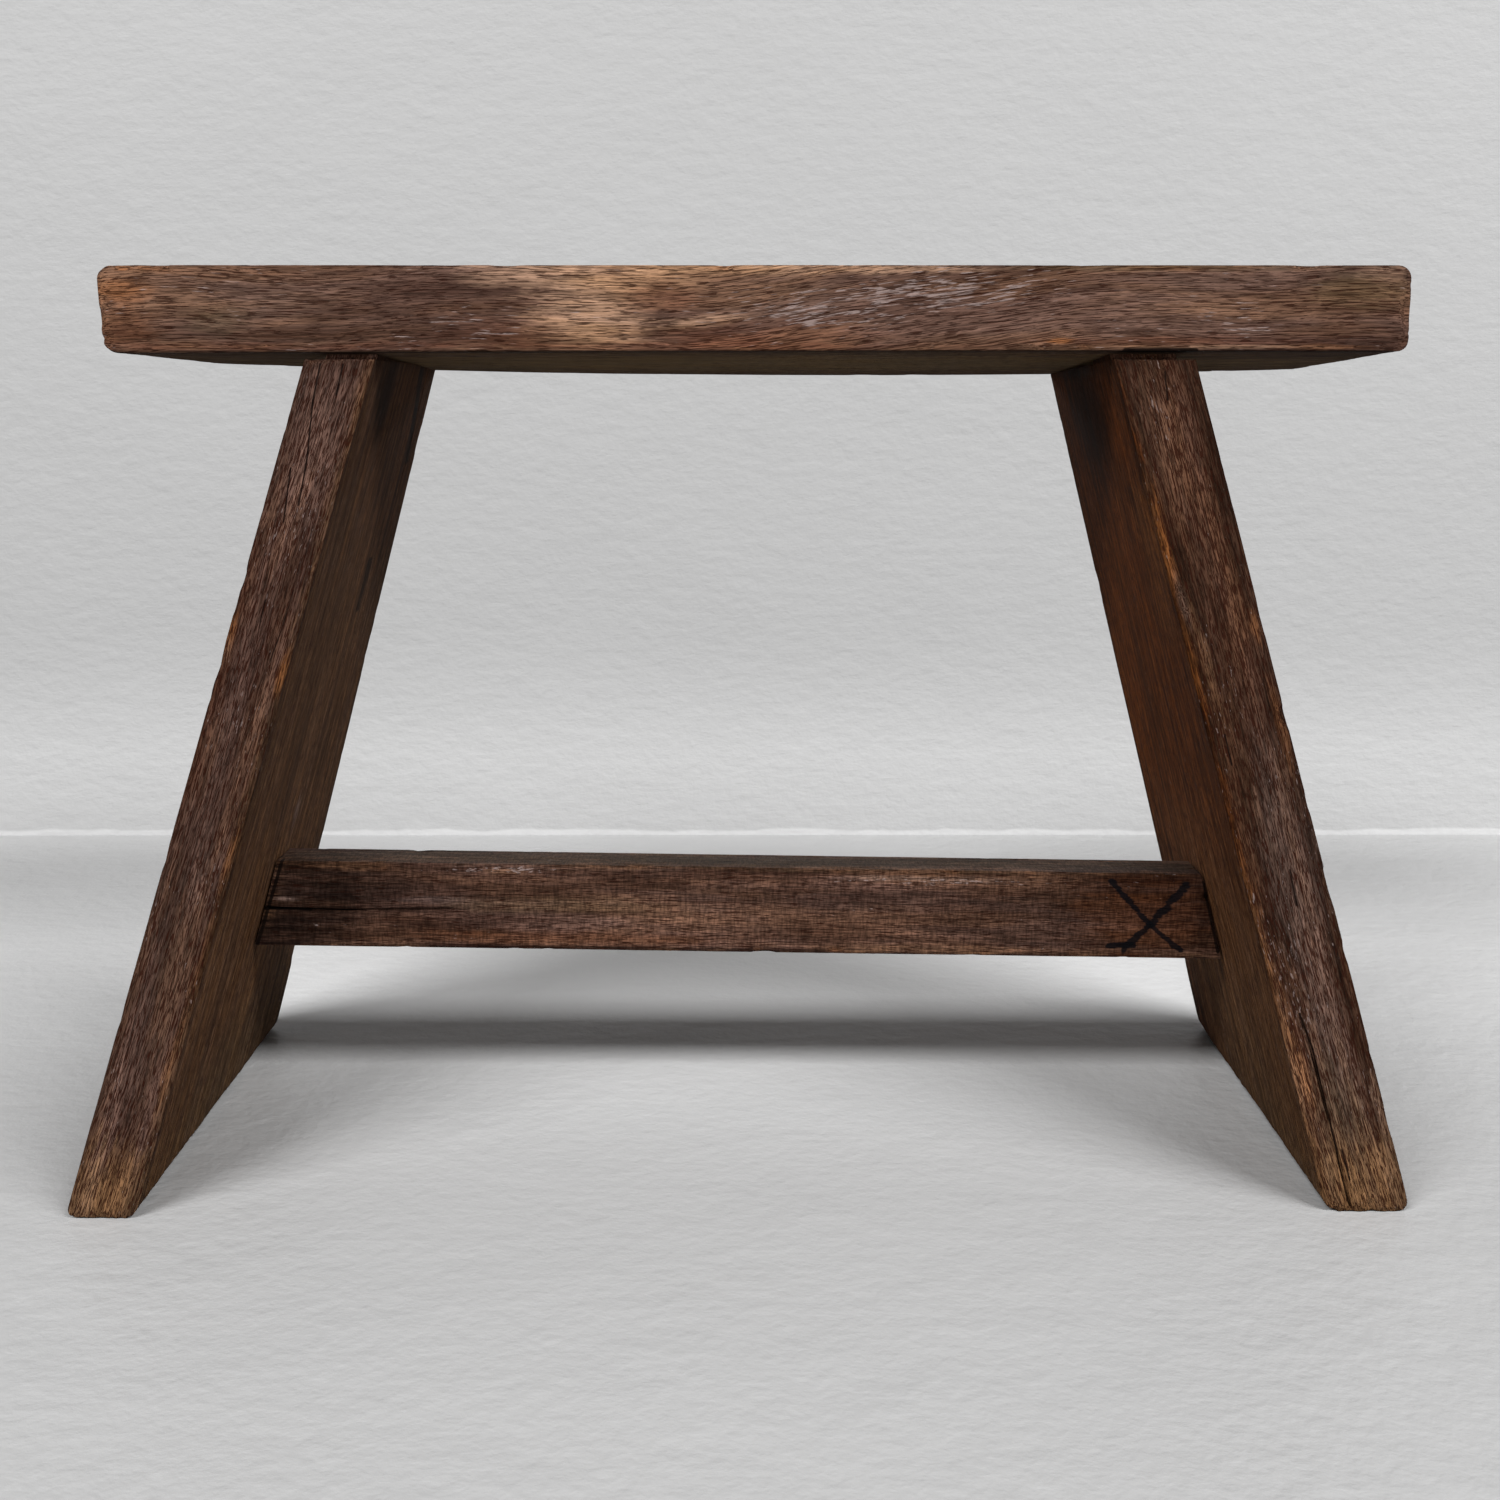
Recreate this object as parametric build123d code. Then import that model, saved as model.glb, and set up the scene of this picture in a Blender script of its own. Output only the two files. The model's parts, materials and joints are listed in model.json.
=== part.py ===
from build123d import *
import math
import os

# A low wooden stool: a board for the seat, two leaning plank legs, and a rail between the legs.
# The joints are wedged through tenons. Millimetres and degrees, +Z up, +X along the seat.
# The origin is on the floor, midway between the outer edges of the feet.

# Whole stool
stool_height = 307.0

# Seat board
seat_length = 420.0
seat_depth = 121.0
seat_thickness = 29.5
seat_corner_round = 4.2
seat_edge_round = 1.8

# Plank legs, which lean outwards. The seat overhangs each leg's outer face, at its underside.
# Across their depth the legs are set in from the seat's edges, and flare out to the floor.
left_overhang = 64.7
right_overhang = 67.4
left_leg_thickness = 22.5
right_leg_thickness = 27.4
left_leg_angle = 16.4
right_leg_angle = 15.0
leg_inset = 1.5
leg_flare = 36.5
leg_edge_round = 2.0

# Twin tenons on each leg, through the seat
leg_shoulder = 3.2
tenon_setback = 14.0
tenon_spacing = 26.0

# Rail, which slopes down a little towards the right leg
rail_height = 32.3
rail_thickness = 21.3
rail_middle_height = 80.7
rail_angle = 0.9
rail_edge_round = 1.2
rail_shoulder = 4.6

# Wedges, driven in from the outside of each joint
seat_wedge_length = 22.0
seat_wedge_head = 3.4
seat_wedge_tip = 0.8
rail_wedge_length = 16.0
rail_wedge_head = 3.0
rail_wedge_tip = 0.8

# Play between a tenon and its mortise, on each side
joint_gap = 0.1

# How far a cutting shape runs past what it cuts
overrun = 8.0

LEFT = -1
RIGHT = 1
FRONT = -1
BACK = 1

leg_thickness = {LEFT: left_leg_thickness, RIGHT: right_leg_thickness}
leg_angle = {LEFT: left_leg_angle, RIGHT: right_leg_angle}
overhang = {LEFT: left_overhang, RIGHT: right_overhang}
underside_height = stool_height - seat_thickness
leg_depth_at_seat = seat_depth - 2 * leg_inset
leg_depth_at_floor = leg_depth_at_seat + 2 * leg_flare
tenon_depth = (leg_depth_at_seat - tenon_spacing) / 2 - tenon_setback
rail_tenon_height = rail_height - 2 * rail_shoulder
rail_tenon_thickness = rail_thickness - 2 * rail_shoulder


def foot_reach(side):
    """Length from the middle of the seat to the outer edge of a foot."""
    spread = underside_height * math.tan(math.radians(leg_angle[side]))
    return seat_length / 2 - overhang[side] + spread


foot_span = foot_reach(LEFT) + foot_reach(RIGHT)
seat_shift = (foot_reach(LEFT) - foot_reach(RIGHT)) / 2


def up_the_slope(side, height, depth_in=0):
    """Length along a leg to a height above the floor, this far into its wood."""
    angle = math.radians(leg_angle[side])
    return height / math.cos(angle) + depth_in * math.tan(angle)


def leg_plane(side):
    """Outer face of a leg at the floor: x across its depth, y up its slope, z into the wood."""
    angle = math.radians(leg_angle[side])
    return Plane(
        origin=(side * foot_span / 2, 0, 0),
        x_dir=(0, -side, 0),
        z_dir=(-side * math.cos(angle), 0, -math.sin(angle)),
    )


def level_slab(low, high):
    """Everything between two heights, wider than the whole stool."""
    reach = foot_span + seat_length
    return Pos(0, 0, (low + high) / 2) * Box(reach, reach, high - low)


def face_position(side, depth_in, height):
    """X of a leg's plane at a height, this far into its wood from the outer face."""
    angle = math.radians(leg_angle[side])
    return side * (foot_span / 2 - depth_in / math.cos(angle) - height * math.tan(angle))


def space_between(left_depth, right_depth):
    """Block between two planes, each this far into its leg from the leg's outer face."""
    corners = [
        (face_position(LEFT, left_depth, 0), 0),
        (face_position(RIGHT, right_depth, 0), 0),
        (face_position(RIGHT, right_depth, underside_height), underside_height),
        (face_position(LEFT, left_depth, underside_height), underside_height),
    ]
    outline = make_face(Polyline(*corners, close=True))
    return extrude(Plane.XZ * outline, amount=leg_depth_at_floor, both=True)


def tenon_centre(end):
    """Middle of the front or back tenon, across the stool's depth."""
    return end * (tenon_spacing + tenon_depth) / 2


def tenon_bar(side, end, play):
    """Bar along a leg's slope that a tenon is cut from, or with play its mortise."""
    thickness = leg_thickness[side] - 2 * leg_shoulder + 2 * play
    depth_in = leg_thickness[side] / 2
    length = up_the_slope(side, seat_thickness) + leg_thickness[side] + 2 * overrun
    bar = Box(tenon_depth + 2 * play, length, thickness)
    rise = up_the_slope(side, stool_height - seat_thickness / 2, depth_in)
    return leg_plane(side) * Pos(-side * tenon_centre(end), rise, depth_in) * bar


def seat_wedge(side, end):
    """Wedge across a seat tenon, with its thick end level with the top of the seat."""
    middle = leg_thickness[side] / 2
    top = up_the_slope(side, stool_height, middle)
    spread = (seat_wedge_head - seat_wedge_tip) / 2 * overrun / seat_wedge_length
    outline = Polyline(
        (top - seat_wedge_length, middle - seat_wedge_tip / 2),
        (top - seat_wedge_length, middle + seat_wedge_tip / 2),
        (top + overrun, middle + seat_wedge_head / 2 + spread),
        (top + overrun, middle - seat_wedge_head / 2 - spread),
        close=True,
    )
    across = extrude(Plane.YZ * make_face(outline), amount=tenon_depth / 2, both=True)
    wedge = leg_plane(side) * Pos(-side * tenon_centre(end), 0, 0) * across
    return wedge & level_slab(underside_height, stool_height)


def rail_axis():
    """Middle of the rail: x along it, z up."""
    return Pos(0, 0, rail_middle_height) * Rot(0, rail_angle, 0)


def rail_bar(height, thickness):
    """Straight bar along X, longer than the stool."""
    return Box(foot_span + overrun, thickness, height)


def rail_wedge(side):
    """Wedge across a rail tenon, with its thick end level with the leg's outer face."""
    end = face_position(side, 0, rail_middle_height)
    spread = (rail_wedge_head - rail_wedge_tip) / 2 * overrun / rail_wedge_length
    outline = Polyline(
        (end - side * rail_wedge_length, -rail_wedge_tip / 2),
        (end - side * rail_wedge_length, rail_wedge_tip / 2),
        (end + side * overrun, rail_wedge_head / 2 + spread),
        (end + side * overrun, -rail_wedge_head / 2 - spread),
        close=True,
    )
    across = extrude(Plane.XZ * make_face(outline), amount=rail_tenon_thickness / 2, both=True)
    return (rail_axis() * across) & space_between(0, 0)


def make_seat():
    """The board, worn round at its ends, with four mortises that lean with the legs."""
    board = Box(seat_length, seat_depth, seat_thickness)
    ends = board.faces().filter_by(Axis.X).edges()
    board = fillet(ends, seat_corner_round)
    along = board.edges().filter_by(Axis.X)
    board = fillet(along, seat_edge_round)
    board = Pos(seat_shift, 0, stool_height - seat_thickness / 2) * board
    for side in (LEFT, RIGHT):
        for end in (FRONT, BACK):
            board -= tenon_bar(side, end, joint_gap)
    return board


def make_leg(side):
    """A plank cut level at the floor and at the seat, with two tenons and the rail's mortise."""
    thickness = leg_thickness[side]
    shoulder = up_the_slope(side, underside_height)
    taper = leg_flare / shoulder
    foot_end = -overrun
    seat_end = shoulder + overrun
    half_at_foot = leg_depth_at_floor / 2 - taper * foot_end
    half_at_seat = leg_depth_at_floor / 2 - taper * seat_end
    outline = Polyline(
        (-half_at_foot, foot_end),
        (half_at_foot, foot_end),
        (half_at_seat, seat_end),
        (-half_at_seat, seat_end),
        close=True,
    )
    plank = leg_plane(side) * extrude(make_face(outline), amount=thickness)
    plank &= level_slab(0, underside_height)
    shoulder_edges = plank.faces().sort_by(Axis.Z)[-1].edges()
    plank = fillet(plank.edges() - shoulder_edges, leg_edge_round)
    for end in (FRONT, BACK):
        tenon = tenon_bar(side, end, 0) & level_slab(underside_height, stool_height)
        plank += tenon - seat_wedge(side, end)
    mortise = rail_bar(rail_tenon_height + 2 * joint_gap, rail_tenon_thickness + 2 * joint_gap)
    return plank - rail_axis() * mortise


def make_rail():
    """The rail with shoulders against the legs and a wedged tenon through each."""
    bar = rail_bar(rail_height, rail_thickness)
    bar = rail_axis() * fillet(bar.edges().filter_by(Axis.X), rail_edge_round)
    tenons = rail_axis() * rail_bar(rail_tenon_height, rail_tenon_thickness)
    rail = bar & space_between(left_leg_thickness, right_leg_thickness)
    rail += tenons & space_between(0, 0)
    for side in (LEFT, RIGHT):
        rail -= rail_wedge(side)
    return rail


side_names = {LEFT: "left", RIGHT: "right"}
end_names = {FRONT: "front", BACK: "back"}

pieces = {"seat": make_seat(), "stretcher": make_rail()}
for side, side_name in side_names.items():
    pieces[f"{side_name}_leg"] = make_leg(side)
    pieces[f"wedge_stretcher_{side_name}"] = rail_wedge(side)
    for end, end_name in end_names.items():
        pieces[f"wedge_{side_name}_{end_name}"] = seat_wedge(side, end)

os.makedirs("parts", exist_ok=True)
for name, piece in pieces.items():
    export_step(piece, f"parts/{name}.step")
    print(name, len(piece.solids()), "solid,", round(piece.volume), "mm3")
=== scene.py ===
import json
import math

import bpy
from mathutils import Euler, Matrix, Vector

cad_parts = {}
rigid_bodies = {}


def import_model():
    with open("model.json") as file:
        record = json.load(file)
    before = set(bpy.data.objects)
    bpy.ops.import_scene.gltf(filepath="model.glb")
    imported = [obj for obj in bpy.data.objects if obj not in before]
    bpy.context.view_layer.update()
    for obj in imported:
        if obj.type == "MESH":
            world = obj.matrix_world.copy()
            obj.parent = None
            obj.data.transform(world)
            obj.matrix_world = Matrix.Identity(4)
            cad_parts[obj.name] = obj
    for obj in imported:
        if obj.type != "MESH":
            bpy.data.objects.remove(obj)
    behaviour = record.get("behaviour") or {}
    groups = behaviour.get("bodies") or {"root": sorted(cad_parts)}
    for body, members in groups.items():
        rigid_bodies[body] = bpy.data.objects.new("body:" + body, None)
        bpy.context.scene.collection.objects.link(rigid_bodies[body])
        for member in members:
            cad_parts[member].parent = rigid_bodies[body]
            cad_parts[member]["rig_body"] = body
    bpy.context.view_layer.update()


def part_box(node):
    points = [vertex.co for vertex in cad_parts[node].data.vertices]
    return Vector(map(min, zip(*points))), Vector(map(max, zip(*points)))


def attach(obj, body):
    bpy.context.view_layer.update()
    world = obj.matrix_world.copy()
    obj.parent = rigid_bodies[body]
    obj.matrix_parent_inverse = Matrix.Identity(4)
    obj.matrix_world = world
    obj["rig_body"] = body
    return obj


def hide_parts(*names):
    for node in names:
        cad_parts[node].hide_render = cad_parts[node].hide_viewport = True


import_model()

# %% [markdown]
# # A low stool of old wood
# The stool is four planks and six wedges: a thick seat, two leaning legs that pass through
# it as twin tenons, and a rail between the legs. The CAD model already holds their true
# sizes and joints. What it lacks is age: rubbed arrises, chips, splits, open grain and
# stains. This script makes each piece again as a worn one, in the place of its CAD node.

mm = 0.001


# %% [markdown]
# ## Camera
# The photograph looks at the stool from just below the height of the seat, tipped down a
# little. Its place was worked out from the stool's corners, so it comes first:
# marks that were found in the photograph can then be thrown back onto the planks by the
# same camera, along their lines of sight.

# %% Camera
photo_side = 1500
sensor_width = 36.0
lens_length = 45.18
camera_place = Vector((0.0015, -0.6800, 0.2602))
camera_pitch = math.radians(10.15)
camera_yaw = math.radians(-0.157)
camera_turn = Euler((math.pi / 2 - camera_pitch, 0, camera_yaw))

camera = bpy.data.objects.new("camera", bpy.data.cameras.new("camera"))
camera.data.lens = lens_length
camera.data.sensor_width = sensor_width
camera.location = camera_place
camera.rotation_euler = camera_turn
bpy.context.scene.collection.objects.link(camera)
bpy.context.scene.camera = camera


def seen_on(face, pixel):
    """Where the line of sight through a pixel meets a face, given as a point and a normal."""
    point, normal = face
    across = (pixel[0] / photo_side - 0.5) * sensor_width
    up = (0.5 - pixel[1] / photo_side) * sensor_width
    sight = camera_turn.to_matrix() @ Vector((across, up, -lens_length))
    reach = (point - camera_place).dot(normal) / sight.dot(normal)
    return camera_place + sight * reach


print("camera looks down", round(math.degrees(camera_pitch), 2), "degrees")

# %% [markdown]
# ## Sums in a node tree
# Geometry nodes and shader nodes share their math, noise and mix nodes. A wire holds one
# output socket, and adding or multiplying wires adds the node that does it, so a formula
# in a tree can be written as a formula.

# %% Wires
VALUE_OUTPUTS = {"LENGTH", "DOT_PRODUCT"}


class Wire:
    """One output socket of a node tree, which can be used in sums."""

    def __init__(self, socket):
        self.socket = socket
        self.tree = socket.id_data

    def __add__(self, other):
        return combine("ADD", self, other)

    def __sub__(self, other):
        return combine("SUBTRACT", self, other)

    def __rsub__(self, other):
        return combine("SUBTRACT", other, self)

    def __mul__(self, other):
        return combine("MULTIPLY", self, other)

    def __truediv__(self, other):
        return combine("DIVIDE", self, other)

    __radd__ = __add__
    __rmul__ = __mul__


def plug(value, socket):
    """Puts a wire, a number or a list of numbers into an input socket."""
    if isinstance(value, Wire):
        socket.id_data.links.new(value.socket, socket)
    elif hasattr(socket.default_value, "__len__") and not hasattr(value, "__len__"):
        socket.default_value = [value] * len(socket.default_value)
    else:
        socket.default_value = value


def fill(node, inputs):
    """Fills inputs of a node, by name or number."""
    for key, value in inputs.items():
        plug(value, node.inputs[key])


def node_in(tree, kind, inputs, **settings):
    """A new node with its settings and inputs."""
    node = tree.nodes.new(kind)
    for key, value in settings.items():
        setattr(node, key, value)
    fill(node, inputs)
    return node


def wire_in(tree, kind, inputs={}, output=0, **settings):
    """The wire that leaves a new node."""
    return Wire(node_in(tree, kind, inputs, **settings).outputs[output])


def combine(operation, *terms):
    """Math on wires and numbers, or vector math where one of them is a vector."""
    tree = next(term.tree for term in terms if isinstance(term, Wire))
    vector = operation in VALUE_OUTPUTS or any(
        term.socket.type == "VECTOR" if isinstance(term, Wire) else hasattr(term, "__len__")
        for term in terms
    )
    kind = "ShaderNodeVectorMath" if vector else "ShaderNodeMath"
    output = 1 if operation in VALUE_OUTPUTS else 0
    return wire_in(tree, kind, dict(enumerate(terms)), output, operation=operation)


# %% Vectors, mixes, steps and noise
MIX_SOCKETS = {"FLOAT": (2, 3, 0), "VECTOR": (4, 5, 1), "RGBA": (6, 7, 2)}
SEED_SHIFT = 17.0


def axis_of(vector, axis):
    """One component of a vector wire."""
    return wire_in(vector.tree, "ShaderNodeSeparateXYZ", {0: vector}, axis)


def vector_of(tree, x, y, z):
    """A vector wire from three wires or numbers."""
    return wire_in(tree, "ShaderNodeCombineXYZ", {0: x, 1: y, 2: z})


def mix(factor, start, end, kind="FLOAT", **settings):
    """Blend from start to end: FLOAT, VECTOR or RGBA."""
    tree = next(t.tree for t in (factor, start, end) if isinstance(t, Wire))
    first, second, result = MIX_SOCKETS[kind]
    inputs = {0: factor, first: start, second: end}
    return wire_in(tree, "ShaderNodeMix", inputs, result, data_type=kind, **settings)


def step(value, low, high, start=0.0, end=1.0):
    """Smooth step of a wire from start at low to end at high."""
    inputs = {0: value, 1: low, 2: high, 3: start, 4: end}
    return wire_in(value.tree, "ShaderNodeMapRange", inputs, interpolation_type="SMOOTHSTEP")


def noise(place, kind, seed=0.0, output=0):
    """Noise about 0.5 of a kind: its scale per metre, detail, roughness and seed number."""
    scale, detail, roughness, number = kind
    where = place * scale + (seed + number) * SEED_SHIFT
    inputs = {"Vector": where, "Scale": 1.0, "Detail": detail, "Roughness": roughness}
    return wire_in(place.tree, "ShaderNodeTexNoise", inputs, output)


# %% Node groups
FLOAT = "NodeSocketFloat"
VECTOR = "NodeSocketVector"


def new_tree(name, kind, inputs, outputs):
    """A node group with named inputs and outputs, and the wires of its inputs."""
    tree = bpy.data.node_groups.new(name, kind)
    for label, (socket_type, value) in inputs.items():
        socket = tree.interface.new_socket(label, in_out="INPUT", socket_type=socket_type)
        if value is not None:
            socket.default_value = value
    for label, socket_type in outputs.items():
        tree.interface.new_socket(label, in_out="OUTPUT", socket_type=socket_type)
    group_input = tree.nodes.new("NodeGroupInput")
    wires = {s.name: Wire(s) for s in group_input.outputs if s.name in inputs}
    return tree, wires


def send_out(tree, results):
    """Wires the results of a group to its outputs."""
    node_in(tree, "NodeGroupOutput", results)
    print(tree.name, "has", len(tree.nodes), "nodes")


# %% [markdown]
# ## The worn plank
# On the real stool every piece is a sawn board that decades of use have rounded, dented,
# chipped and split. A box with a bevel would stay too straight, and sculpting ten boards by
# hand would be slow and could not be changed later. All boards follow one rule, so one
# geometry tree makes them: a fine grid is rounded over at its edges, laid into a cage of
# three rings of four corners, and then worn down by noise, chips and split lines.
# The grid is crowded towards the edges, where the wear is.

# %% The cage
RINGS = ("start", "middle", "end")


def mesh_object(name, points, edges=(), faces=()):
    """A mesh object from points in metres."""
    mesh = bpy.data.meshes.new(name)
    mesh.from_pydata([tuple(point) for point in points], list(edges), list(faces))
    thing = bpy.data.objects.new(name, mesh)
    bpy.context.scene.collection.objects.link(thing)
    return thing


def cage_points(start, end, bends={}):
    """Three rings of corners. Each ring runs low y, high y at low z, and then at high z."""
    middle = [(a + b) / 2 for a, b in zip(start, end)]
    rings = {"start": list(start), "middle": middle, "end": list(end)}
    for (ring, corner), shift in bends.items():
        rings[ring][corner] = rings[ring][corner] + Vector(shift) * mm
        if ring != "middle":
            rings["middle"][corner] = rings["middle"][corner] + Vector(shift) * mm / 2
    return [point for ring in RINGS for point in rings[ring]]


def cage_size(points):
    """Mean length, width and thickness of a cage."""
    corners = range(len(points))
    lengths = [(corner, corner + 8) for corner in corners if corner < 4]
    widths = [(corner, corner + 1) for corner in corners if corner % 2 == 0]
    depths = [(corner, corner + 2) for corner in corners if corner % 4 < 2]
    return Vector([
        sum((points[b] - points[a]).length for a, b in pairs) / len(pairs)
        for pairs in (lengths, widths, depths)
    ])


# %% The tree: its inputs
CELLS = ("Cells along", "Cells across", "Cells deep")
PLANK_LENGTHS = {
    "Edge radius": 1.5,
    "Face radius": 0.9,
    "Start radius": 1.5,
    "End radius": 1.5,
    "Wear width": 6,
    "Chip depth": 1.2,
    "Dent depth": 0.3,
    "Fibre depth": 0.12,
    "Fray depth": 0,
    "Split depth": 2,
    "Split width": 0.8,
    "Nick depth": 1.4,
    "Nick width": 3,
}
HELPERS = ("Splits", "Nicks", "Added", "Removed")
plank_tree, plank = new_tree(
    "worn_plank",
    "GeometryNodeTree",
    {
        "Cage": ("NodeSocketGeometry", None),
        "Size": (VECTOR, (0.1, 0.1, 0.1)),
        **{label: ("NodeSocketInt", 10) for label in CELLS},
        "Crowding": (FLOAT, 0.6),
        **{label: (FLOAT, length * mm) for label, length in PLANK_LENGTHS.items()},
        **{label: ("NodeSocketObject", None) for label in HELPERS},
        "Seed": (FLOAT, 0.0),
        "Wood": ("NodeSocketMaterial", None),
    },
    {"Plank": "NodeSocketGeometry"},
)
print("worn_plank has", len(plank), "inputs")

# %% The tree: a rounded grid in the cage
RADIUS_NOISE = (45, 2, 0.5, 0)


def rounded_grid():
    """A closed grid of the plank's size, and where each point lies on the rounded box."""
    counts = {1 + axis: plank[label] + 1.0 for axis, label in enumerate(CELLS)}
    grid = wire_in(plank_tree, "GeometryNodeMeshCube", {0: plank["Size"], **counts})
    half = plank["Size"] * 0.5
    place = wire_in(plank_tree, "GeometryNodeInputPosition") / half
    crowded = place * 1.5 - place * place * place * 0.5
    place = (place + (crowded - place) * plank["Crowding"]) * half
    length_share = axis_of(place / plank["Size"], 0) + 0.5
    near_start = step(length_share, 0.04, 0.5, 1.0, 0.0)
    near_end = step(length_share, 0.5, 0.96)
    radius = mix(near_start, plank["Edge radius"], plank["Start radius"])
    radius = mix(near_end, radius, plank["End radius"])
    radius = vector_of(plank_tree, radius, plank["Face radius"], radius)
    radius = radius * (0.55 + 0.9 * noise(place, RADIUS_NOISE, plank["Seed"]))
    core_limit = half - radius
    core = combine("MINIMUM", combine("MAXIMUM", place, core_limit * -1.0), core_limit)
    rounded = core + combine("NORMALIZE", (place - core) / radius) * radius
    return grid, place, rounded


def cage_point(index, position):
    """One corner of the cage."""
    inputs = {"Geometry": plank["Cage"], "Value": position, "Index": index}
    return wire_in(plank_tree, "GeometryNodeSampleIndex", inputs, data_type="FLOAT_VECTOR")


def in_cage(share):
    """The point of the cage at three shares: along it, across it and through it."""
    position = wire_in(plank_tree, "GeometryNodeInputPosition")
    along, across, through = (axis_of(share, axis) for axis in range(3))
    start_weight = (along - 0.5) * (along - 1.0) * 2.0
    middle_weight = along * (1.0 - along) * 4.0
    end_weight = along * (along - 0.5) * 2.0
    corners = [
        cage_point(corner, position) * start_weight
        + cage_point(corner + 4, position) * middle_weight
        + cage_point(corner + 8, position) * end_weight
        for corner in range(4)
    ]
    low = mix(across, corners[0], corners[1], "VECTOR")
    high = mix(across, corners[2], corners[3], "VECTOR")
    return mix(through, low, high, "VECTOR")


def keep_attribute(geometry, name, value):
    """Stores a value on the points for the material to read."""
    kind = "FLOAT_VECTOR" if value.socket.type == "VECTOR" else "FLOAT"
    inputs = {"Geometry": geometry, "Name": name, "Value": value}
    settings = {"data_type": kind, "domain": "POINT"}
    return wire_in(plank_tree, "GeometryNodeStoreNamedAttribute", inputs, **settings)


def set_position(geometry, label, value):
    """Moves the points of a geometry: Position says where to, and Offset how far."""
    return wire_in(plank_tree, "GeometryNodeSetPosition", {"Geometry": geometry, label: value})


grid, flat_place, rounded_place = rounded_grid()
grid = keep_attribute(grid, "board", flat_place)
body = set_position(grid, "Position", in_cage(rounded_place / plank["Size"] + 0.5))
print("grid in its cage:", len(plank_tree.nodes), "nodes")

# %% The tree: wear
CHIP_NOISE = ((70, 190, 190), 3, 0.5, 3)
DENT_NOISE = ((14, 34, 34), 2, 0.5, 7)
FIBRE_NOISE = ((28, 330, 330), 2, 0.5, 11)
FRAY_NOISE = ((120, 620, 620), 2, 0.5, 15)


def helper_mesh(label):
    """The geometry of a helper object that is an input of the tree."""
    return wire_in(plank_tree, "GeometryNodeObjectInfo", {"Object": plank[label]}, "Geometry")


def near_lines(label, width):
    """One on the helper lines of an input, and nothing a width away from them."""
    position = wire_in(plank_tree, "GeometryNodeInputPosition")
    inputs = {0: helper_mesh(label), "Sample Position": position}
    settings = {"output": "Distance", "target_element": "EDGES"}
    distance = wire_in(plank_tree, "GeometryNodeProximity", inputs, **settings)
    return step(distance / plank[width], 0.0, 1.0, 1.0, 0.0)


def wear_depths(place):
    """How deep each point is worn, and the masks of rubbed arris, chip and split."""
    seed = plank["Seed"]
    to_face = plank["Size"] * 0.5 - combine("ABSOLUTE", place)
    x, y, z = (axis_of(to_face, axis) for axis in range(3))
    least = combine("MINIMUM", combine("MINIMUM", x, y), z)
    most = combine("MAXIMUM", combine("MAXIMUM", x, y), z)
    to_arris = x + y + z - least - most
    rubbed = 1.0 - step(to_arris / plank["Wear width"], 0.0, 1.0)
    chipped = step(noise(place, CHIP_NOISE, seed), 0.56, 0.70) * rubbed * rubbed
    length_share = axis_of(place, 0) / axis_of(plank["Size"], 0)
    at_start = step(length_share, -0.5, -0.47, 1.0, 0.0)
    fray = step(noise(place, FRAY_NOISE, seed), 0.35, 0.65) * at_start
    split = near_lines("Splits", "Split width")
    nick = near_lines("Nicks", "Nick width")
    depth = chipped * plank["Chip depth"] + noise(place, DENT_NOISE, seed) * plank["Dent depth"]
    depth = depth + fray * plank["Fray depth"] + nick * plank["Nick depth"]
    depth = depth + noise(place, FIBRE_NOISE, seed) * plank["Fibre depth"]
    depth = depth + split * plank["Split depth"]
    return depth, {"rubbed": rubbed, "chipped": chipped, "split": split}


board_place = wire_in(
    plank_tree, "GeometryNodeInputNamedAttribute", {"Name": "board"}, data_type="FLOAT_VECTOR"
)
depth, masks = wear_depths(board_place)
for label, mask in masks.items():
    body = keep_attribute(body, label, mask)
normal = wire_in(plank_tree, "GeometryNodeInputNormal")
body = set_position(body, "Offset", normal * (depth * -1.0))
print("with its wear:", len(plank_tree.nodes), "nodes")

# %% [markdown]
# ## Tenons and mortises
# A leg ends in two tenons that show on top of the seat, and the rail's tenons show on the
# legs' outer faces. They are plain prisms, so each is a helper mesh: the tree adds the
# tenons to their plank and takes the mortises and wedge slots away. Arrises that the saw
# left sharp keep a hard edge, and the worn surface is shaded smooth.

# %% The tree: joints, shading and material
SHARP_ANGLE = math.radians(50)


def boolean(geometry, label, operation):
    """Adds or removes the helper meshes of an input."""
    inputs = {1: helper_mesh(label)}
    settings = {"operation": operation, "solver": "MANIFOLD"}
    node = node_in(plank_tree, "GeometryNodeMeshBoolean", inputs, **settings)
    plug(geometry, node.inputs[0 if operation == "DIFFERENCE" else 1])
    return Wire(node.outputs[0])


body = boolean(body, "Added", "UNION")
body = boolean(body, "Removed", "DIFFERENCE")
sharp = wire_in(plank_tree, "GeometryNodeInputMeshEdgeAngle")
sharp = combine("GREATER_THAN", sharp, SHARP_ANGLE)
body = wire_in(plank_tree, "GeometryNodeSetShadeSmooth", {0: body}, domain="FACE")
edges = {0: body, 1: sharp, 2: False}
body = wire_in(plank_tree, "GeometryNodeSetShadeSmooth", edges, domain="EDGE")
body = wire_in(plank_tree, "GeometryNodeRealizeInstances", {0: body})
body = wire_in(plank_tree, "GeometryNodeSetMaterial", {0: body, 2: plank["Wood"]})
send_out(plank_tree, {"Plank": body})

# %% [markdown]
# ## The stool's own sizes
# The seat and the heights are read from the CAD nodes. The lean of each leg and the
# thickness of its plank are repeated here, because a leaning board's box does not tell them.

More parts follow.
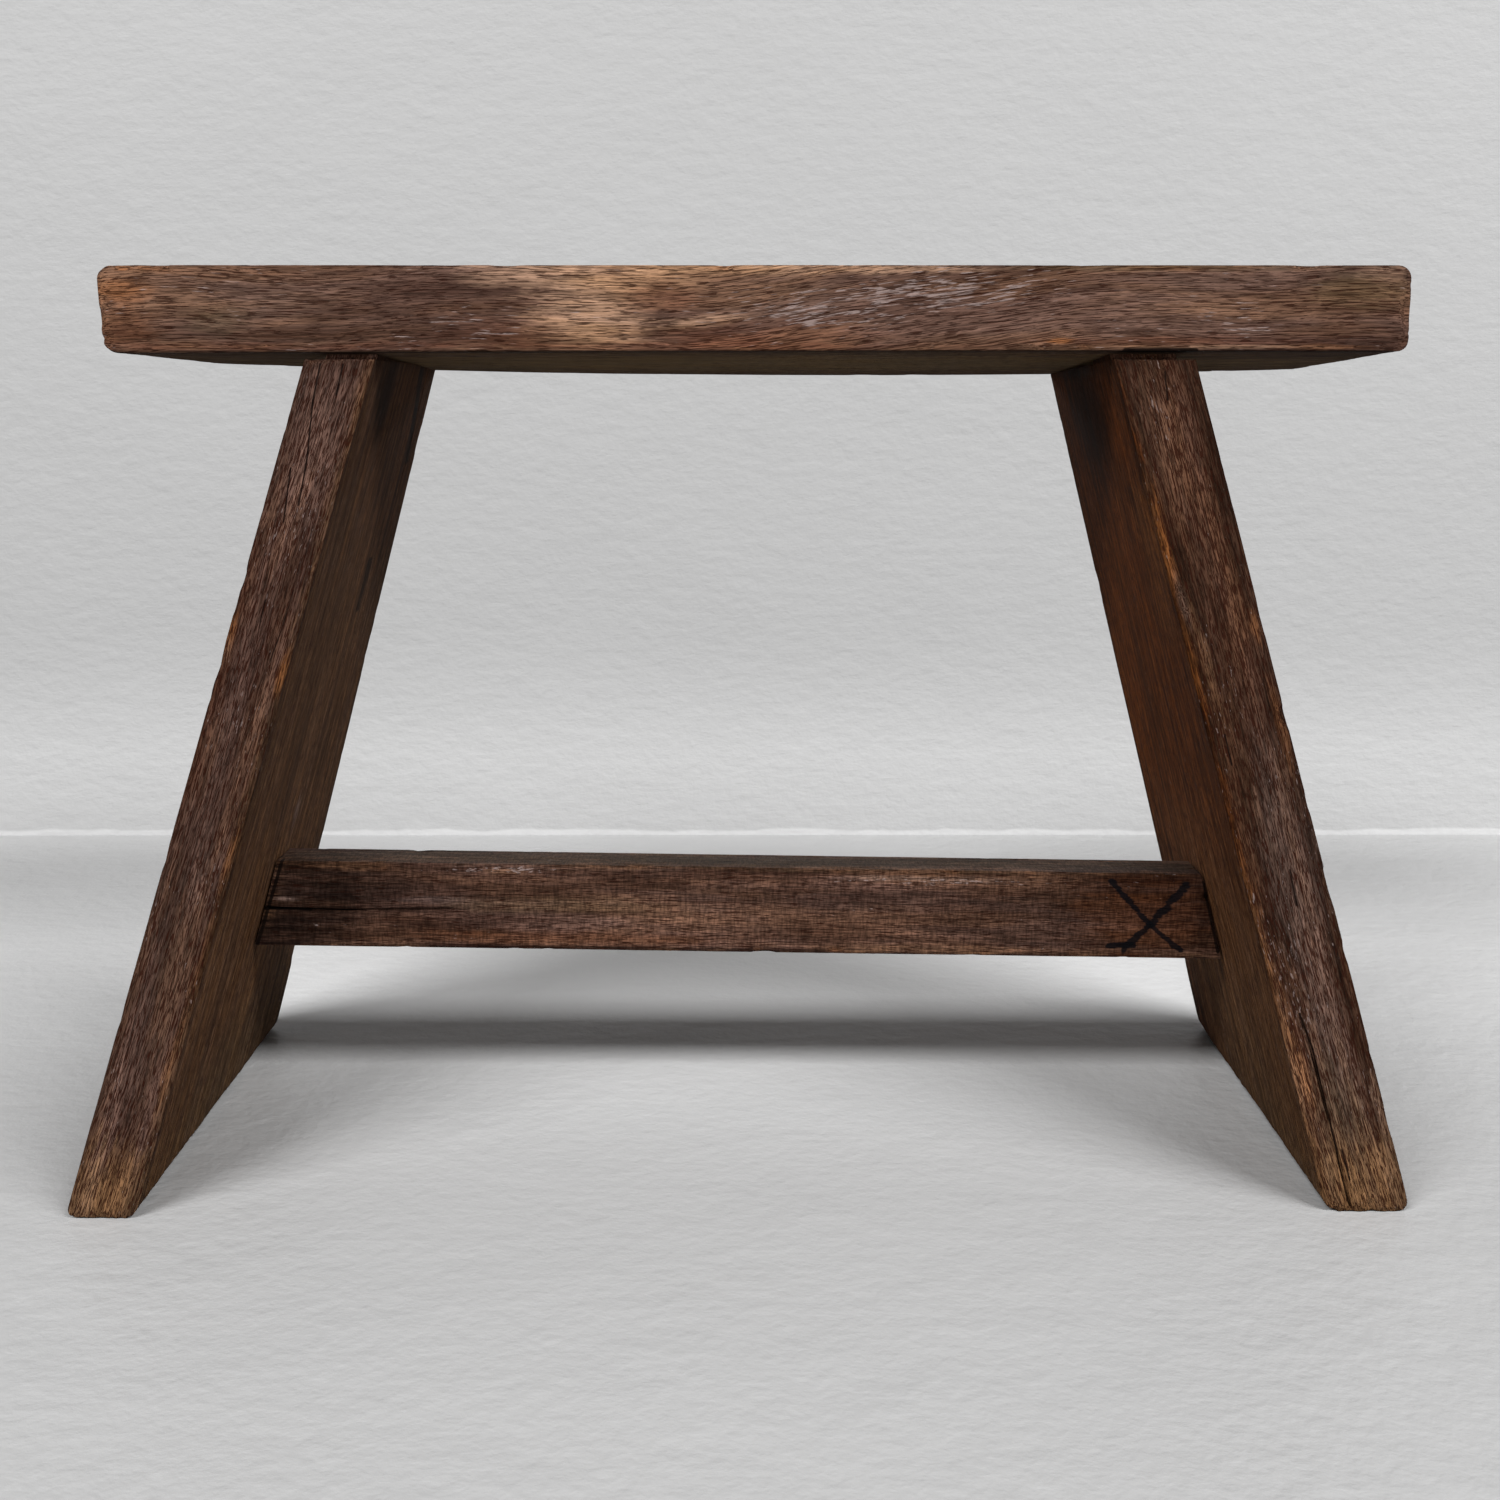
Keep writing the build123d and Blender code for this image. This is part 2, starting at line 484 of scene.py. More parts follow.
# %% Sizes
LEFT = -1
RIGHT = 1
SIDES = (LEFT, RIGHT)
ENDS = {-1: "front", 1: "back"}
side_name = {LEFT: "left", RIGHT: "right"}
seat_low, seat_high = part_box("seat")
underside = seat_low.z
top = seat_high.z
lean = {LEFT: math.radians(16.4), RIGHT: math.radians(15.0)}
leg_thickness = {LEFT: 22.5 * mm, RIGHT: 27.4 * mm}
foot_reach = 221.97 * mm
half_depth_at_floor = 95.5 * mm
half_depth_at_seat = 59.0 * mm
leg_shoulder = 3.2 * mm
tenon_spacing = 26.0 * mm
tenon_depth = 32.0 * mm
rail_height = 32.3 * mm
rail_depth = 21.3 * mm
rail_middle = 80.7 * mm
rail_fall = math.radians(0.9)
rail_shoulder = 4.6 * mm
seat_wedge_length = 22.0 * mm
seat_wedge_head = 3.4 * mm
rail_wedge_length = 16.0 * mm
rail_wedge_head = 3.0 * mm
wedge_tip = 0.8 * mm
play = 0.2 * mm
overlap = 3.0 * mm
mortise_overrun = 8.0 * mm


def leg_x(side, depth_in, height):
    """X at a height, this far into a leg's wood from its outer face."""
    return side * (
        foot_reach - depth_in / math.cos(lean[side]) - height * math.tan(lean[side])
    )


def half_depth(height):
    """Half the depth of a leg at a height."""
    return half_depth_at_floor + (half_depth_at_seat - half_depth_at_floor) * height / underside


for side in SIDES:
    low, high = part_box(f"{side_name[side]}_leg")
    outer = low.x if side == LEFT else high.x
    reaches = [round(x / mm, 2) for x in (outer, side * foot_reach)]
    print(side_name[side], "foot, in the CAD model and here, mm:", reaches)

# %% Prisms for the joints
PRISM_FACES = (
    (0, 2, 3, 1), (4, 5, 7, 6), (0, 1, 5, 4), (2, 6, 7, 3), (0, 4, 6, 2), (1, 3, 7, 5),
)


def prisms(name, rings):
    """One helper mesh of closed prisms, each from a start ring and an end ring."""
    points = []
    faces = []
    for start, end in rings:
        first = len(points)
        points += [*start, *end]
        faces += [[first + index for index in face] for face in PRISM_FACES]
    return mesh_object(name, points, faces=faces)


def leg_ring(side, height, depths, y_low, y_high):
    """Four corners of a leg-wise section at a height, from two depths into its wood."""
    depths = depths if side == RIGHT else depths[::-1]
    return [
        Vector((leg_x(side, depth, height), y, height))
        for depth in depths
        for y in (y_low, y_high)
    ]


def tenon_span(end, grow):
    """The y of a tenon's front and back, grown on both sides."""
    middle = end * (tenon_spacing + tenon_depth) / 2
    reach = tenon_depth / 2 + grow
    return middle - reach, middle + reach


def tenon_rings(side, grow, low, high):
    """The twin tenons of a leg between two heights, grown on all sides."""
    depths = (leg_shoulder - grow, leg_thickness[side] - leg_shoulder + grow)
    return [
        [leg_ring(side, height, depths, *tenon_span(end, grow)) for height in (low, high)]
        for end in ENDS
    ]


def wedge_rings(side, grow=0.0):
    """The two wedges of a leg's tenons, thick at the top and thin below."""
    low = top - seat_wedge_length * math.cos(lean[side])
    middle = leg_thickness[side] / 2
    heights = {low: wedge_tip / 2, top: seat_wedge_head / 2}
    return [
        [
            leg_ring(side, height, (middle - half, middle + half), *tenon_span(end, grow))
            for height, half in heights.items()
        ]
        for end in ENDS
    ]


# %% [markdown]
# ## Wood
# The stool is one dark, coarse hardwood. A picture of wood would repeat, and would not turn
# the corner onto the end grain, so the grain is a solid pattern in the board's own
# coordinates, with X along it. It is made of things at several scales: growth rings, broad
# figure, warmer and cooler parts, dark veins, fine streaks of fibre, pale flecks, and
# pores, which a sawn face cuts into short dark dashes. Shortness makes these marks shorter
# along the board, and Rise lets the grain climb along it, as in wood from a bent trunk.

# %% Wood grain
DRIFT = ((6, 4, 4), 2, 0.5, 0)
RIPPLE = ((36, 120, 120), 2, 0.5, 6)
RING = (260, 2, 0.5, 1)
FIGURE = ((9, 90, 90), 4, 0.65, 2)
WARMTH = ((14, 110, 110), 3, 0.6, 8)
VEIN = ((22, 900, 900), 3, 0.7, 7)
STREAK = ((50, 1900, 1900), 3, 0.8, 3)
PORES = ((150, 3000, 3000), 2, 0.5, 4)
RIPPLE_SIZE = 0.7 * mm
ACROSS = (0.0, 1.0, 1.0)
grain_tree, grain = new_tree(
    "wood_grain",
    "ShaderNodeTree",
    {
        "Position": (VECTOR, (0, 0, 0)),
        "Pith": (VECTOR, (0, 0, -0.06)),
        "Wander": (FLOAT, 10 * mm),
        "Pore share": (FLOAT, 0.42),
        "Shortness": (FLOAT, 1.0),
        "Fleck scale": (VECTOR, (120, 1500, 1500)),
        "Rise from": (FLOAT, 0.0),
        "Rise to": (FLOAT, 1.0),
        "Rise": (FLOAT, 0.0),
        "Seed": (FLOAT, 0.0),
    },
    {label: FLOAT for label in ("Tone", "Warmth", "Vein", "Streak", "Pore", "Fleck", "Height")},
)


def build_grain():
    """Growth rings, veins, fibre and pores along X."""
    seed = grain["Seed"]
    place = grain["Position"]
    drift = noise(place, DRIFT, seed, 1) - 0.5
    ripple = noise(place, RIPPLE, seed, 1) - 0.5
    bent = place + (drift * grain["Wander"] + ripple * RIPPLE_SIZE) * ACROSS
    rise = step(axis_of(place, 0), grain["Rise from"], grain["Rise to"], 0.0, grain["Rise"])
    bent = bent - vector_of(grain_tree, 0.0, 0.0, rise)
    from_pith = combine("LENGTH", (bent - grain["Pith"]) * ACROSS)
    ring = noise(vector_of(grain_tree, from_pith, 0.0, 0.0), RING, seed)
    tone = ring * 0.35 + noise(bent, FIGURE, seed) * 0.65
    short = bent * vector_of(grain_tree, grain["Shortness"], 1.0, 1.0)
    vein = step(noise(short, VEIN, seed), 0.56, 0.68)
    streak = noise(short, STREAK, seed)
    crowd = (tone - 0.5) * 0.25
    pore = step(noise(short, PORES, seed) + crowd + grain["Pore share"], 0.96, 1.06)
    return {
        "Tone": tone,
        "Warmth": noise(bent, WARMTH, seed),
        "Vein": vein,
        "Streak": streak,
        "Pore": pore,
        "Fleck": noise(bent, (grain["Fleck scale"], 2, 0.6, 40), seed),
        "Height": streak * 0.9 - pore * 0.9 - vein * 0.35,
    }


send_out(grain_tree, build_grain())

# %% [markdown]
# ## Marks
# Stains, rubbed places and scuffs are patches with ragged ends that follow the grain, and so
# are some patches of painted light and shade. They could be painted on an image, but a mark
# that is only a point and a reach is easy to move. A group gives the mask of one such patch,
# and a second one gives the mask of a line drawn from one point to another, for ink, fine
# checks and the painted shade in the gaps at the joints.

# %% Patches and lines
LINE_FLATNESS = (1.0, 0.15, 1.0)
PATCH_FADE = (0.25, 1.1)
LINE_FADE = (0.7, 1.15)
patch_tree, patch = new_tree(
    "patch",
    "ShaderNodeTree",
    {
        "Position": (VECTOR, (0, 0, 0)),
        "Tear": (FLOAT, 0.0),
        "Centre": (VECTOR, (0, 0, 0)),
        "Reach": (VECTOR, (0.01, 0.01, 0.01)),
    },
    {"Mask": FLOAT},
)
patch_far = combine("LENGTH", (patch["Position"] - patch["Centre"]) / patch["Reach"])
send_out(patch_tree, {"Mask": step(patch_far + patch["Tear"], *PATCH_FADE, 1.0, 0.0)})

line_tree, line = new_tree(
    "drawn_line",
    "ShaderNodeTree",
    {
        "Position": (VECTOR, (0, 0, 0)),
        "Tear": (FLOAT, 0.0),
        "From": (VECTOR, (0, 0, 0)),
        "To": (VECTOR, (0.01, 0, 0)),
        "Width": (FLOAT, 1.0 * mm),
    },
    {"Mask": FLOAT},
)
line_run = (line["To"] - line["From"]) * LINE_FLATNESS
line_step = (line["Position"] - line["From"]) * LINE_FLATNESS
along = combine("DOT_PRODUCT", line_step, line_run) / combine("DOT_PRODUCT", line_run, line_run)
along = combine("MINIMUM", combine("MAXIMUM", along, 0.0), 1.0)
line_far = combine("LENGTH", line_step - line_run * along) / line["Width"] * 2.0
send_out(line_tree, {"Mask": step(line_far + line["Tear"], *LINE_FADE, 1.0, 0.0)})


def use_group(tree, group, inputs):
    """Places a node group in a material's tree."""
    node = node_in(tree, "ShaderNodeGroup", inputs, node_tree=group)
    return {socket.name: Wire(socket) for socket in node.outputs}


def seen_marks(face, *rows):
    """Patches, whose middles are given as pixels of a face, at points of the stool."""
    return [(*words, seen_on(face, pixel), reach) for *words, pixel, reach in rows]


def seen_lines(face, rows):
    """Drawn lines, whose ends are given as pixels of a face, between points of the stool."""
    return [
        (tint, strength, seen_on(face, start), seen_on(face, end), width, torn)
        for tint, strength, start, end, width, torn in rows
    ]


# %% [markdown]
# ## The palette
# Colours are written as they look on screen, from 0 to 255, and turned into the linear
# values that a shader works with. Every stain of the stool is one of these.

# %% Palette
def paint(red, green, blue):
    """A colour as it looks on screen, from 0 to 255, as the shader's linear colour."""
    shares = [channel / 255 for channel in (red, green, blue)]
    linear = [c / 12.92 if c <= 0.04045 else ((c + 0.055) / 1.055) ** 2.4 for c in shares]
    return (*linear, 1.0)


PALETTE = {
    "pore": paint(38, 15, 7),
    # black is the colour of the splits and of dark marks, and also of painted shade: in the gaps
    # under the seat and at the rail's ends, along the rail's bottom edge and at the top of the
    # right leg's inner face
    "black": paint(14, 8, 6),
    "rubbed": paint(108, 78, 58),
    "fresh": paint(112, 74, 50),
    "dust": paint(150, 134, 130),
    "pale": paint(120, 98, 90),
    "tan": paint(148, 115, 92),
    "orange": paint(122, 76, 42),
    "rust": paint(82, 46, 24),
    "ember": paint(106, 56, 24),
    "olive": paint(76, 62, 44),
    "foot": paint(106, 78, 54),
    "red": paint(82, 52, 40),
    "pink": paint(102, 76, 64),
    "grey": paint(88, 68, 58),
    # painted light: the seat's underside is painted much lighter than its wood, to stand in for
    # the light its shade keeps from it
    "painted_underside_light": paint(148, 122, 90),
    "warm inside": paint(97, 51, 18),
    "dull inside": paint(82, 58, 40),
    "low inside": paint(112, 80, 56),
    "ink": paint(13, 13, 16),
}
COOL = (0.96, 1.0, 1.06, 1.0)
WARM = (1.03, 1.0, 0.90, 1.0)
print("palette of", len(PALETTE), "colours")

# %% [markdown]
# ## One recipe for each wood
# Every board's material is the same recipe with its own colours, marks and style. First
# comes the ground colour, then the stains and some patches of painted light and shade, the
# rubbed and chipped places, the warm and cool parts, the figure, streaks, a painted shade on
# the rubbed arrises, veins, saw marks, bands and pores of the grain, and last the dust, the
# drawn lines, some of them painted shade in the gaps at the joints, and the black of the
# splits. Each layer lies over the one before, as the stains, wear and dust came on the real
# wood. One function for all boards keeps them one wood, where trees drawn by hand would
# drift apart.

# %% Layers of a wood
CLOUD_NOISE = ((13, 42, 42), 3, 0.5, 31)
TEAR_NOISE = ((70, 520, 520), 4, 0.7, 0)
SAW_NOISE = ((1200, 260, 260), 2, 0.6, 50)
BAND_NOISE = ((9, 300, 300), 3, 0.75, 60)
CROWD_NOISE = ((22, 70, 70), 3, 0.5, 41)


class Board:
    """A board's own axes: X along the grain, and Y straightened where the board tapers."""

    def __init__(self, origin, turn, taper=0.0):
        self.matrix = Matrix.Translation(origin) @ Matrix.Rotation(turn, 4, "Y")
        self.taper = taper

    def place(self, point):
        """A point of the stool, in the board's axes."""
        x, y, z = self.matrix.inverted() @ point
        return Vector((x, y / (1 - self.taper * x), z))

    def wire(self, tree):
        """The shaded point in the board's axes."""
        inputs = {
            "Vector": wire_in(tree, "ShaderNodeTexCoord", output="Object"),
            "Location": self.matrix.translation,
            "Rotation": self.matrix.to_euler(),
        }
        place = wire_in(tree, "ShaderNodeMapping", inputs, vector_type="TEXTURE")
        if not self.taper:
            return place
        x, y, z = (axis_of(place, axis) for axis in range(3))
        return vector_of(tree, x, y / (1.0 - x * self.taper), z)


class Coat:
    """The colour of a wood while its layers go on, each over the one before."""

    def __init__(self, tree, board, seed):
        self.tree = tree
        self.board = board
        self.seed = seed
        self.place = board.wire(tree)
        self.colour = None

    def noise(self, kind):
        """Noise in the board's axes."""
        return noise(self.place, kind, self.seed)

    def stored(self, label):
        """A mask that the plank tree stored on the points."""
        return wire_in(self.tree, "ShaderNodeAttribute", output="Fac", attribute_name=label)

    def patch(self, point, reach, tear=0.0):
        """The mask of a patch with its reach in millimetres."""
        inputs = {"Position": self.place, "Tear": tear, "Reach": Vector(reach) * mm}
        inputs["Centre"] = self.board.place(point)
        return use_group(self.tree, patch_tree, inputs)["Mask"]

    def line(self, start, end, width, tear):
        """The mask of a line with its width in millimetres."""
        inputs = {"Position": self.place, "Tear": tear, "Width": width * mm}
        inputs |= {"From": self.board.place(start), "To": self.board.place(end)}
        return use_group(self.tree, line_tree, inputs)["Mask"]

    def cover(self, mask, tint):
        """Lays a colour of the palette over what is there."""
        self.colour = mix(mask, self.colour, PALETTE[tint], "RGBA")

    def shade(self, light):
        """Multiplies what is there by a colour, or by a value that changes over the wood."""
        self.colour = mix(1.0, self.colour, light, "RGBA", blend_type="MULTIPLY")


# %% The recipe
PLAIN_STYLE = {
    "seed": 0.0,
    "grain": {},
    "rubbing": 0.7,
    "chips": 0.8,
    "tones": (0.7, 1.3),
    "streaks": (0.58, 1.4),
    "arris_shade": 0.0,
    "veins": 0.45,
    "sawn": None,
    "banded": None,
    "pore_strength": 0.8,
    "fleck_share": 0.0,
    "dust": 0.55,
}
WOOD_GLOSS = 0.03
GRAIN_DEPTH = 0.3 * mm


def new_material(name):
    """A material, with its tree and its shader."""
    material = bpy.data.materials.new(name)
    material.use_nodes = True
    return material, material.node_tree, material.node_tree.nodes["Principled BSDF"]


def draw_grain(coat, wood, style):
    """Lays the grain over a coat, from the broad figure to the pores, with a painted shade on the
    rubbed arrises.
    """
    coat.shade(mix(step(wood["Warmth"], 0.38, 0.62), COOL, WARM, "RGBA"))
    coat.shade(step(wood["Tone"], 0.3, 0.7, *style["tones"]))
    coat.shade(step(wood["Streak"], 0.32, 0.68, *style["streaks"]))
    # painted shade: the rubbed arrises are darkened, where the lamps light them more than the
    # faces
    coat.shade(1.0 - coat.stored("rubbed") * style["arris_shade"])
    coat.cover(wood["Vein"] * style["veins"], "pore")
    if style["sawn"]:
        depth = style["sawn"]
        coat.shade(step(coat.noise(SAW_NOISE), 0.34, 0.66, 1 - depth, 1 + depth))
    if style["banded"]:
        depth, *spot = style["banded"]
        band = step(coat.noise(BAND_NOISE), 0.34, 0.66, -1.0, 1.0)
        coat.shade(1.0 + coat.patch(*spot) * depth * band)
    coat.cover(wood["Pore"] * style["pore_strength"], "pore")


def old_wood(name, board, dark, light, patches=(), lines=(), dusty=(), **changes):
    """A weathered wood on a board, with its stains, painted light and shade, lines and dusty
    places.
    """
    style = PLAIN_STYLE | changes
    material, tree, shader = new_material(name)
    coat = Coat(tree, board, style["seed"])
    inputs = {"Position": coat.place, "Seed": coat.seed, **style["grain"]}
    wood = use_group(tree, grain_tree, inputs)
    cloud = coat.noise(CLOUD_NOISE)
    tear = (coat.noise(TEAR_NOISE) - 0.5) * 1.6
    coat.colour = mix(step(wood["Tone"] + (cloud - 0.5) * 0.6, 0.28, 0.72), dark, light, "RGBA")
    for tint, strength, point, reach in patches:
        coat.cover(coat.patch(point, reach, tear) * strength, tint)
    patchy = step(cloud, 0.42, 0.6)
    rubbed = step(tear, -0.12, 0.3) * coat.stored("rubbed")
    coat.cover(rubbed * patchy * style["rubbing"], "rubbed")
    coat.cover(coat.stored("chipped") * patchy * style["chips"], "fresh")
    draw_grain(coat, wood, style)
    flecks = wood["Fleck"] + (coat.noise(CROWD_NOISE) - 0.5) * 0.4 + style["fleck_share"]
    for strength, point, reach in dusty:
        flecks = flecks + coat.patch(point, reach, tear * 0.5) * strength
    coat.cover(step(flecks, 0.62, 0.70) * style["dust"], "dust")
    for tint, strength, start, end, width, torn in lines:
        coat.cover(coat.line(start, end, width, tear * torn) * strength, tint)
    coat.cover(step(coat.stored("split"), 0.55, 0.95), "black")
    relief = {"Strength": 0.9, "Distance": GRAIN_DEPTH, "Height": wood["Height"]}
    fill(shader, {
        "Base Color": coat.colour,
        "Roughness": step(wood["Streak"], 0.2, 0.8, 0.95, 0.72),
        "Specular IOR Level": WOOD_GLOSS,
        "Normal": wire_in(tree, "ShaderNodeBump", relief),
    })
    print(name, "has", len(tree.nodes), "nodes")
    return material


# %% [markdown]
# ## Making a piece
# A piece starts as its cage. The tree is added as a modifier, its inputs are set by their
# identifiers, and the evaluated result is copied to a plain mesh. The modifier and the
# helpers are then thrown away, so that the finished piece is nothing but a mesh.

# %% From cage to piece
def surface_lines(name, courses, outward):
    """Helper lines on a surface. They rise off it at both ends, so that a split tapers out."""
    points = []
    edges = []
    for course in courses:
        first = len(points)
        points += [Vector(point) for point in course]
        points[first] = points[first] + outward
        points[-1] = points[-1] + outward
        edges += [(index, index + 1) for index in range(first, len(points) - 1)]
    return mesh_object(name, points, edges=edges)


def seen_courses(face, courses):
    """Lines over a face, from the pixels along them."""
    return [[seen_on(face, pixel) for pixel in course] for course in courses]


FAR_AWAY = Vector((0, 0, 9))
no_lines = surface_lines("no_lines", [(FAR_AWAY, FAR_AWAY * 2)], FAR_AWAY)
nothing = mesh_object("nothing", [])
identifier = {
    item.name: item.identifier
    for item in plank_tree.interface.items_tree
    if item.item_type == "SOCKET" and item.in_out == "INPUT"
}


def make_piece(name, cage, slot, wood, cells, **inputs):
    """Runs the worn plank tree on a cage and stands the result in for a CAD node."""
    source = mesh_object(f"{name}_cage", cage)
    modifier = source.modifiers.new("worn plank", "NODES")
    modifier.node_group = plank_tree
    values = {"Size": cage_size(cage), "Wood": wood, "Splits": no_lines, "Nicks": no_lines}
    values |= {"Added": nothing, "Removed": nothing, **dict(zip(CELLS, cells))}
    for word, value in inputs.items():
        label = word.replace("_", " ").capitalize()
        values[label] = value * mm if label in PLANK_LENGTHS else value
    for label, value in values.items():
        modifier[identifier[label]] = value
    source.update_tag()
    graph = bpy.context.evaluated_depsgraph_get()
    mesh = bpy.data.meshes.new_from_object(source.evaluated_get(graph))
    mesh.name = f"{name}_worn"
    bpy.data.objects.remove(source)
    piece = bpy.data.objects.new(f"{name}_worn", mesh)
    bpy.context.scene.collection.objects.link(piece)
    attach(piece, "root")
    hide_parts(name)
    triangles = sum(len(face.vertices) - 2 for face in mesh.polygons)
    print(piece.name, triangles, "triangles")
    return piece


# %% [markdown]
# ## The seat
# A thick board, worn round at both ends. Four mortises go through it, leaning with the
# legs. Its underside is not flat: the front edge is a little higher than the back edge,
# which sags in the middle and shows below it. The cage's corners are bent by a few
# millimetres for that, which is simpler than modelling the face.

# %% Seat: shape
FRONT = Vector((0, -1, 0))
UP = Vector((0, 0, 1))
seat_front = (seat_low, FRONT)
seat_ends = [
    [Vector((x, y, z)) for z in (seat_low.z, seat_high.z) for y in (seat_low.y, seat_high.y)]
    for x in (seat_low.x, seat_high.x)
]
seat_bends = {
    ("start", 0): (-0.5, 0, 1.5),
    ("start", 1): (-0.5, 0, 1.4),
    ("start", 2): (-1.3, 0, 0),
    ("start", 3): (-1.3, 0, 0),
    ("end", 0): (1.2, 0, 2.1),
    ("end", 1): (1.2, 0, -0.9),
    ("end", 2): (0.5, 0, 0),
    ("end", 3): (0.5, 0, 0),
    ("middle", 0): (0, 0, 0.4),
    ("middle", 1): (0, 0, -3.4),
}
mortise_heights = (underside - mortise_overrun, top + mortise_overrun)
mortises = [rings for side in SIDES for rings in tenon_rings(side, play, *mortise_heights)]
top_splits = [
    ((-208, 14), (-180, 15), (-150, 13)),
    ((218, -18), (190, -19), (150, -17), (128, -18)),
    ((-60, -35), (-20, -34), (25, -36)),
    ((30, 22), (70, 21), (95, 22)),
]
top_splits = [[Vector((x * mm, y * mm, top)) for x, y in course] for course in top_splits]
seat_nicks = [
    ((1407, 306), (1409, 322)),
    ((1360, 351), (1378, 350)),
    ((1014, 352), (1034, 352)),
    ((1403, 345), (1408, 340)),
    ((96, 312), (98, 322)),
]
print("seat:", len(mortises), "mortises,", len(top_splits), "splits,", len(seat_nicks), "nicks")

# %% Seat: wood
# painted light: the whole underside of the seat is painted lighter, in the place of light that
# does not reach it
seat_patches = [("painted_underside_light", 0.95, Vector((0, 0, underside)), (320, 90, 3.5))]
seat_patches += seen_marks(
    seat_front,
    ("orange", 0.5, (118, 292), (13, 14, 6)),
    ("rust", 0.4, (125, 330), (14, 14, 10)),
    ("grey", 0.4, (230, 300), (40, 14, 9)),
    ("tan", 0.8, (592, 312), (26, 14, 17)),
    ("tan", 0.5, (640, 280), (30, 14, 5)),
    ("tan", 0.6, (540, 275), (34, 10, 5)),
    ("tan", 0.8, (700, 267), (84, 10, 3)),
    ("tan", 0.6, (880, 269), (50, 10, 2.2)),
    ("red", 0.6, (660, 300), (18, 14, 7)),
    ("red", 0.7, (720, 340), (26, 14, 5)),
    ("pore", 0.4, (658, 285), (6, 8, 1.5)),
    ("tan", 0.6, (690, 323), (14, 8, 2.2)),
    ("tan", 0.5, (725, 318), (10, 8, 1.6)),
    ("red", 0.5, (790, 335), (40, 14, 7)),
    ("red", 0.5, (500, 335), (26, 14, 6)),
    ("pink", 0.4, (1010, 310), (60, 14, 12)),
    ("red", 0.6, (250, 347), (90, 8, 2.2)),
    ("red", 0.6, (700, 347), (110, 8, 2.2)),
    ("red", 0.6, (1180, 342), (60, 8, 2.2)),
    ("orange", 0.6, (1060, 341), (5, 6, 1.4)),
    ("orange", 0.35, (1320, 347), (20, 6, 1.2)),
    ("tan", 0.4, (1220, 347), (46, 6, 0.9)),
    ("olive", 0.5, (1360, 290), (22, 14, 8)),
    ("tan", 0.35, (1385, 272), (10, 14, 5)),
    ("olive", 0.5, (1180, 266), (80, 10, 2)),
    ("olive", 0.4, (215, 320), (12, 14, 6)),
)
seat_dust = seen_marks(
    seat_front,
    (0.11, (860, 308), (50, 14, 11)),
    (0.10, (960, 290), (36, 14, 8)),
    (0.05, (1256, 284), (34, 14, 4)),
    (0.04, (1310, 330), (30, 14, 4)),
)
seat_lines = [
    ("pore", 0.6, (484, 303), (536, 305), 0.5, 1.3),
    ("pore", 0.6, (686, 328), (744, 319), 0.6, 1.3),
    ("pore", 0.6, (1014, 301), (1052, 297), 0.5, 1.3),
    # painted shadow: the last two lines are black along the seat's front lower edge and over the
    # right leg's top, for the shade in the gap under the edge
    ("black", 0.6, (92, 353.6), (1392, 353.6), 2.4, 0.4),
    ("black", 0.9, (1126, 351), (1196, 351), 2.2, 0.4),
]
rise = {"Rise from": -40 * mm, "Rise to": 140 * mm, "Rise": 18 * mm}
seat_wood = old_wood(
    "seat_wood",
    Board(Vector((0, 0, underside)), 0),
    paint(68, 47, 38),
    paint(97, 73, 61),
    seat_patches,
    seen_lines(seat_front, seat_lines),
    seat_dust,
    seed=1.0,
    fleck_share=-0.05,
    streaks=(0.52, 1.48),
    grain={"Wander": 18 * mm, **rise},
)
make_piece(
    "seat",
    cage_points(*seat_ends, seat_bends),
    "seat_wood",
    seat_wood,
    (170, 150, 40),
    edge_radius=1.8,
    start_radius=5.0,
    end_radius=4.2,
    chip_depth=0.9,
    nick_depth=1.0,
    seed=1.0,
    splits=surface_lines("seat_splits", top_splits, UP * 0.8 * mm),
    nicks=surface_lines("seat_nicks", seen_courses(seat_front, seat_nicks), FRONT * 0.5 * mm),
    removed=prisms("mortises", mortises),
)

# %% [markdown]
# ## The legs
# Each leg is one wide plank that leans out and grows deeper towards the floor. It is cut
# level at the floor and at the seat, and ends in two tenons. Both legs share the tree and
# the recipe. What sets them apart is a table for each: bends of the cage, stains, painted
# shade under the seat, checks, splits and nicks, all found in the photograph by their pixels.

# %% Legs: faces and shape
flare = half_depth_at_floor - half_depth_at_seat
leg_front_normal = Vector((0, -underside, flare)).normalized()
leg_front = (Vector((0, -half_depth_at_floor, 0)), leg_front_normal)
leg_inside = {
    side: (
        Vector((leg_x(side, leg_thickness[side], 0), 0, 0)),
        Vector((-side * math.cos(lean[side]), 0, -math.sin(lean[side]))),
    )
    for side in SIDES
}
leg_bends = {
    LEFT: {
        ("end", 0): (-0.9, 0, 0),
        ("end", 2): (-0.6, 0, 0),
        ("end", 1): (0, 0, 0.6),
        ("end", 3): (0, 0, 0.6),
        ("start", 0): (0, -4.3, 0),
        ("start", 2): (0, -4.3, 0),
        ("start", 1): (-1.4, 1.0, 0),
    },
    RIGHT: {
        ("end", 2): (1.3, 0, 0),
        ("end", 3): (-0.4, 0, -2.4),
        ("start", 3): (3.2, 0, 0),
    },
}
nick_depth = {LEFT: 0.9, RIGHT: 1.8}
nick_width = {LEFT: 2.2, RIGHT: 3.0}


def leg_board(side):
    """The axes of a leg's plank, with the grain up its slope."""
    turn = -(math.pi / 2 + side * lean[side])
    taper = (1 - half_depth_at_seat / half_depth_at_floor) * math.cos(lean[side]) / underside
    return Board(Vector((side * foot_reach, 0, 0)), turn, taper)


def leg_cage(side):
    """A leg from the floor to the seat's underside."""
    depths = (0, leg_thickness[side])
    rings = [
        leg_ring(side, height, depths, -half_depth(height), half_depth(height))
        for height in (0, underside)
    ]
    return cage_points(*rings, leg_bends[side])
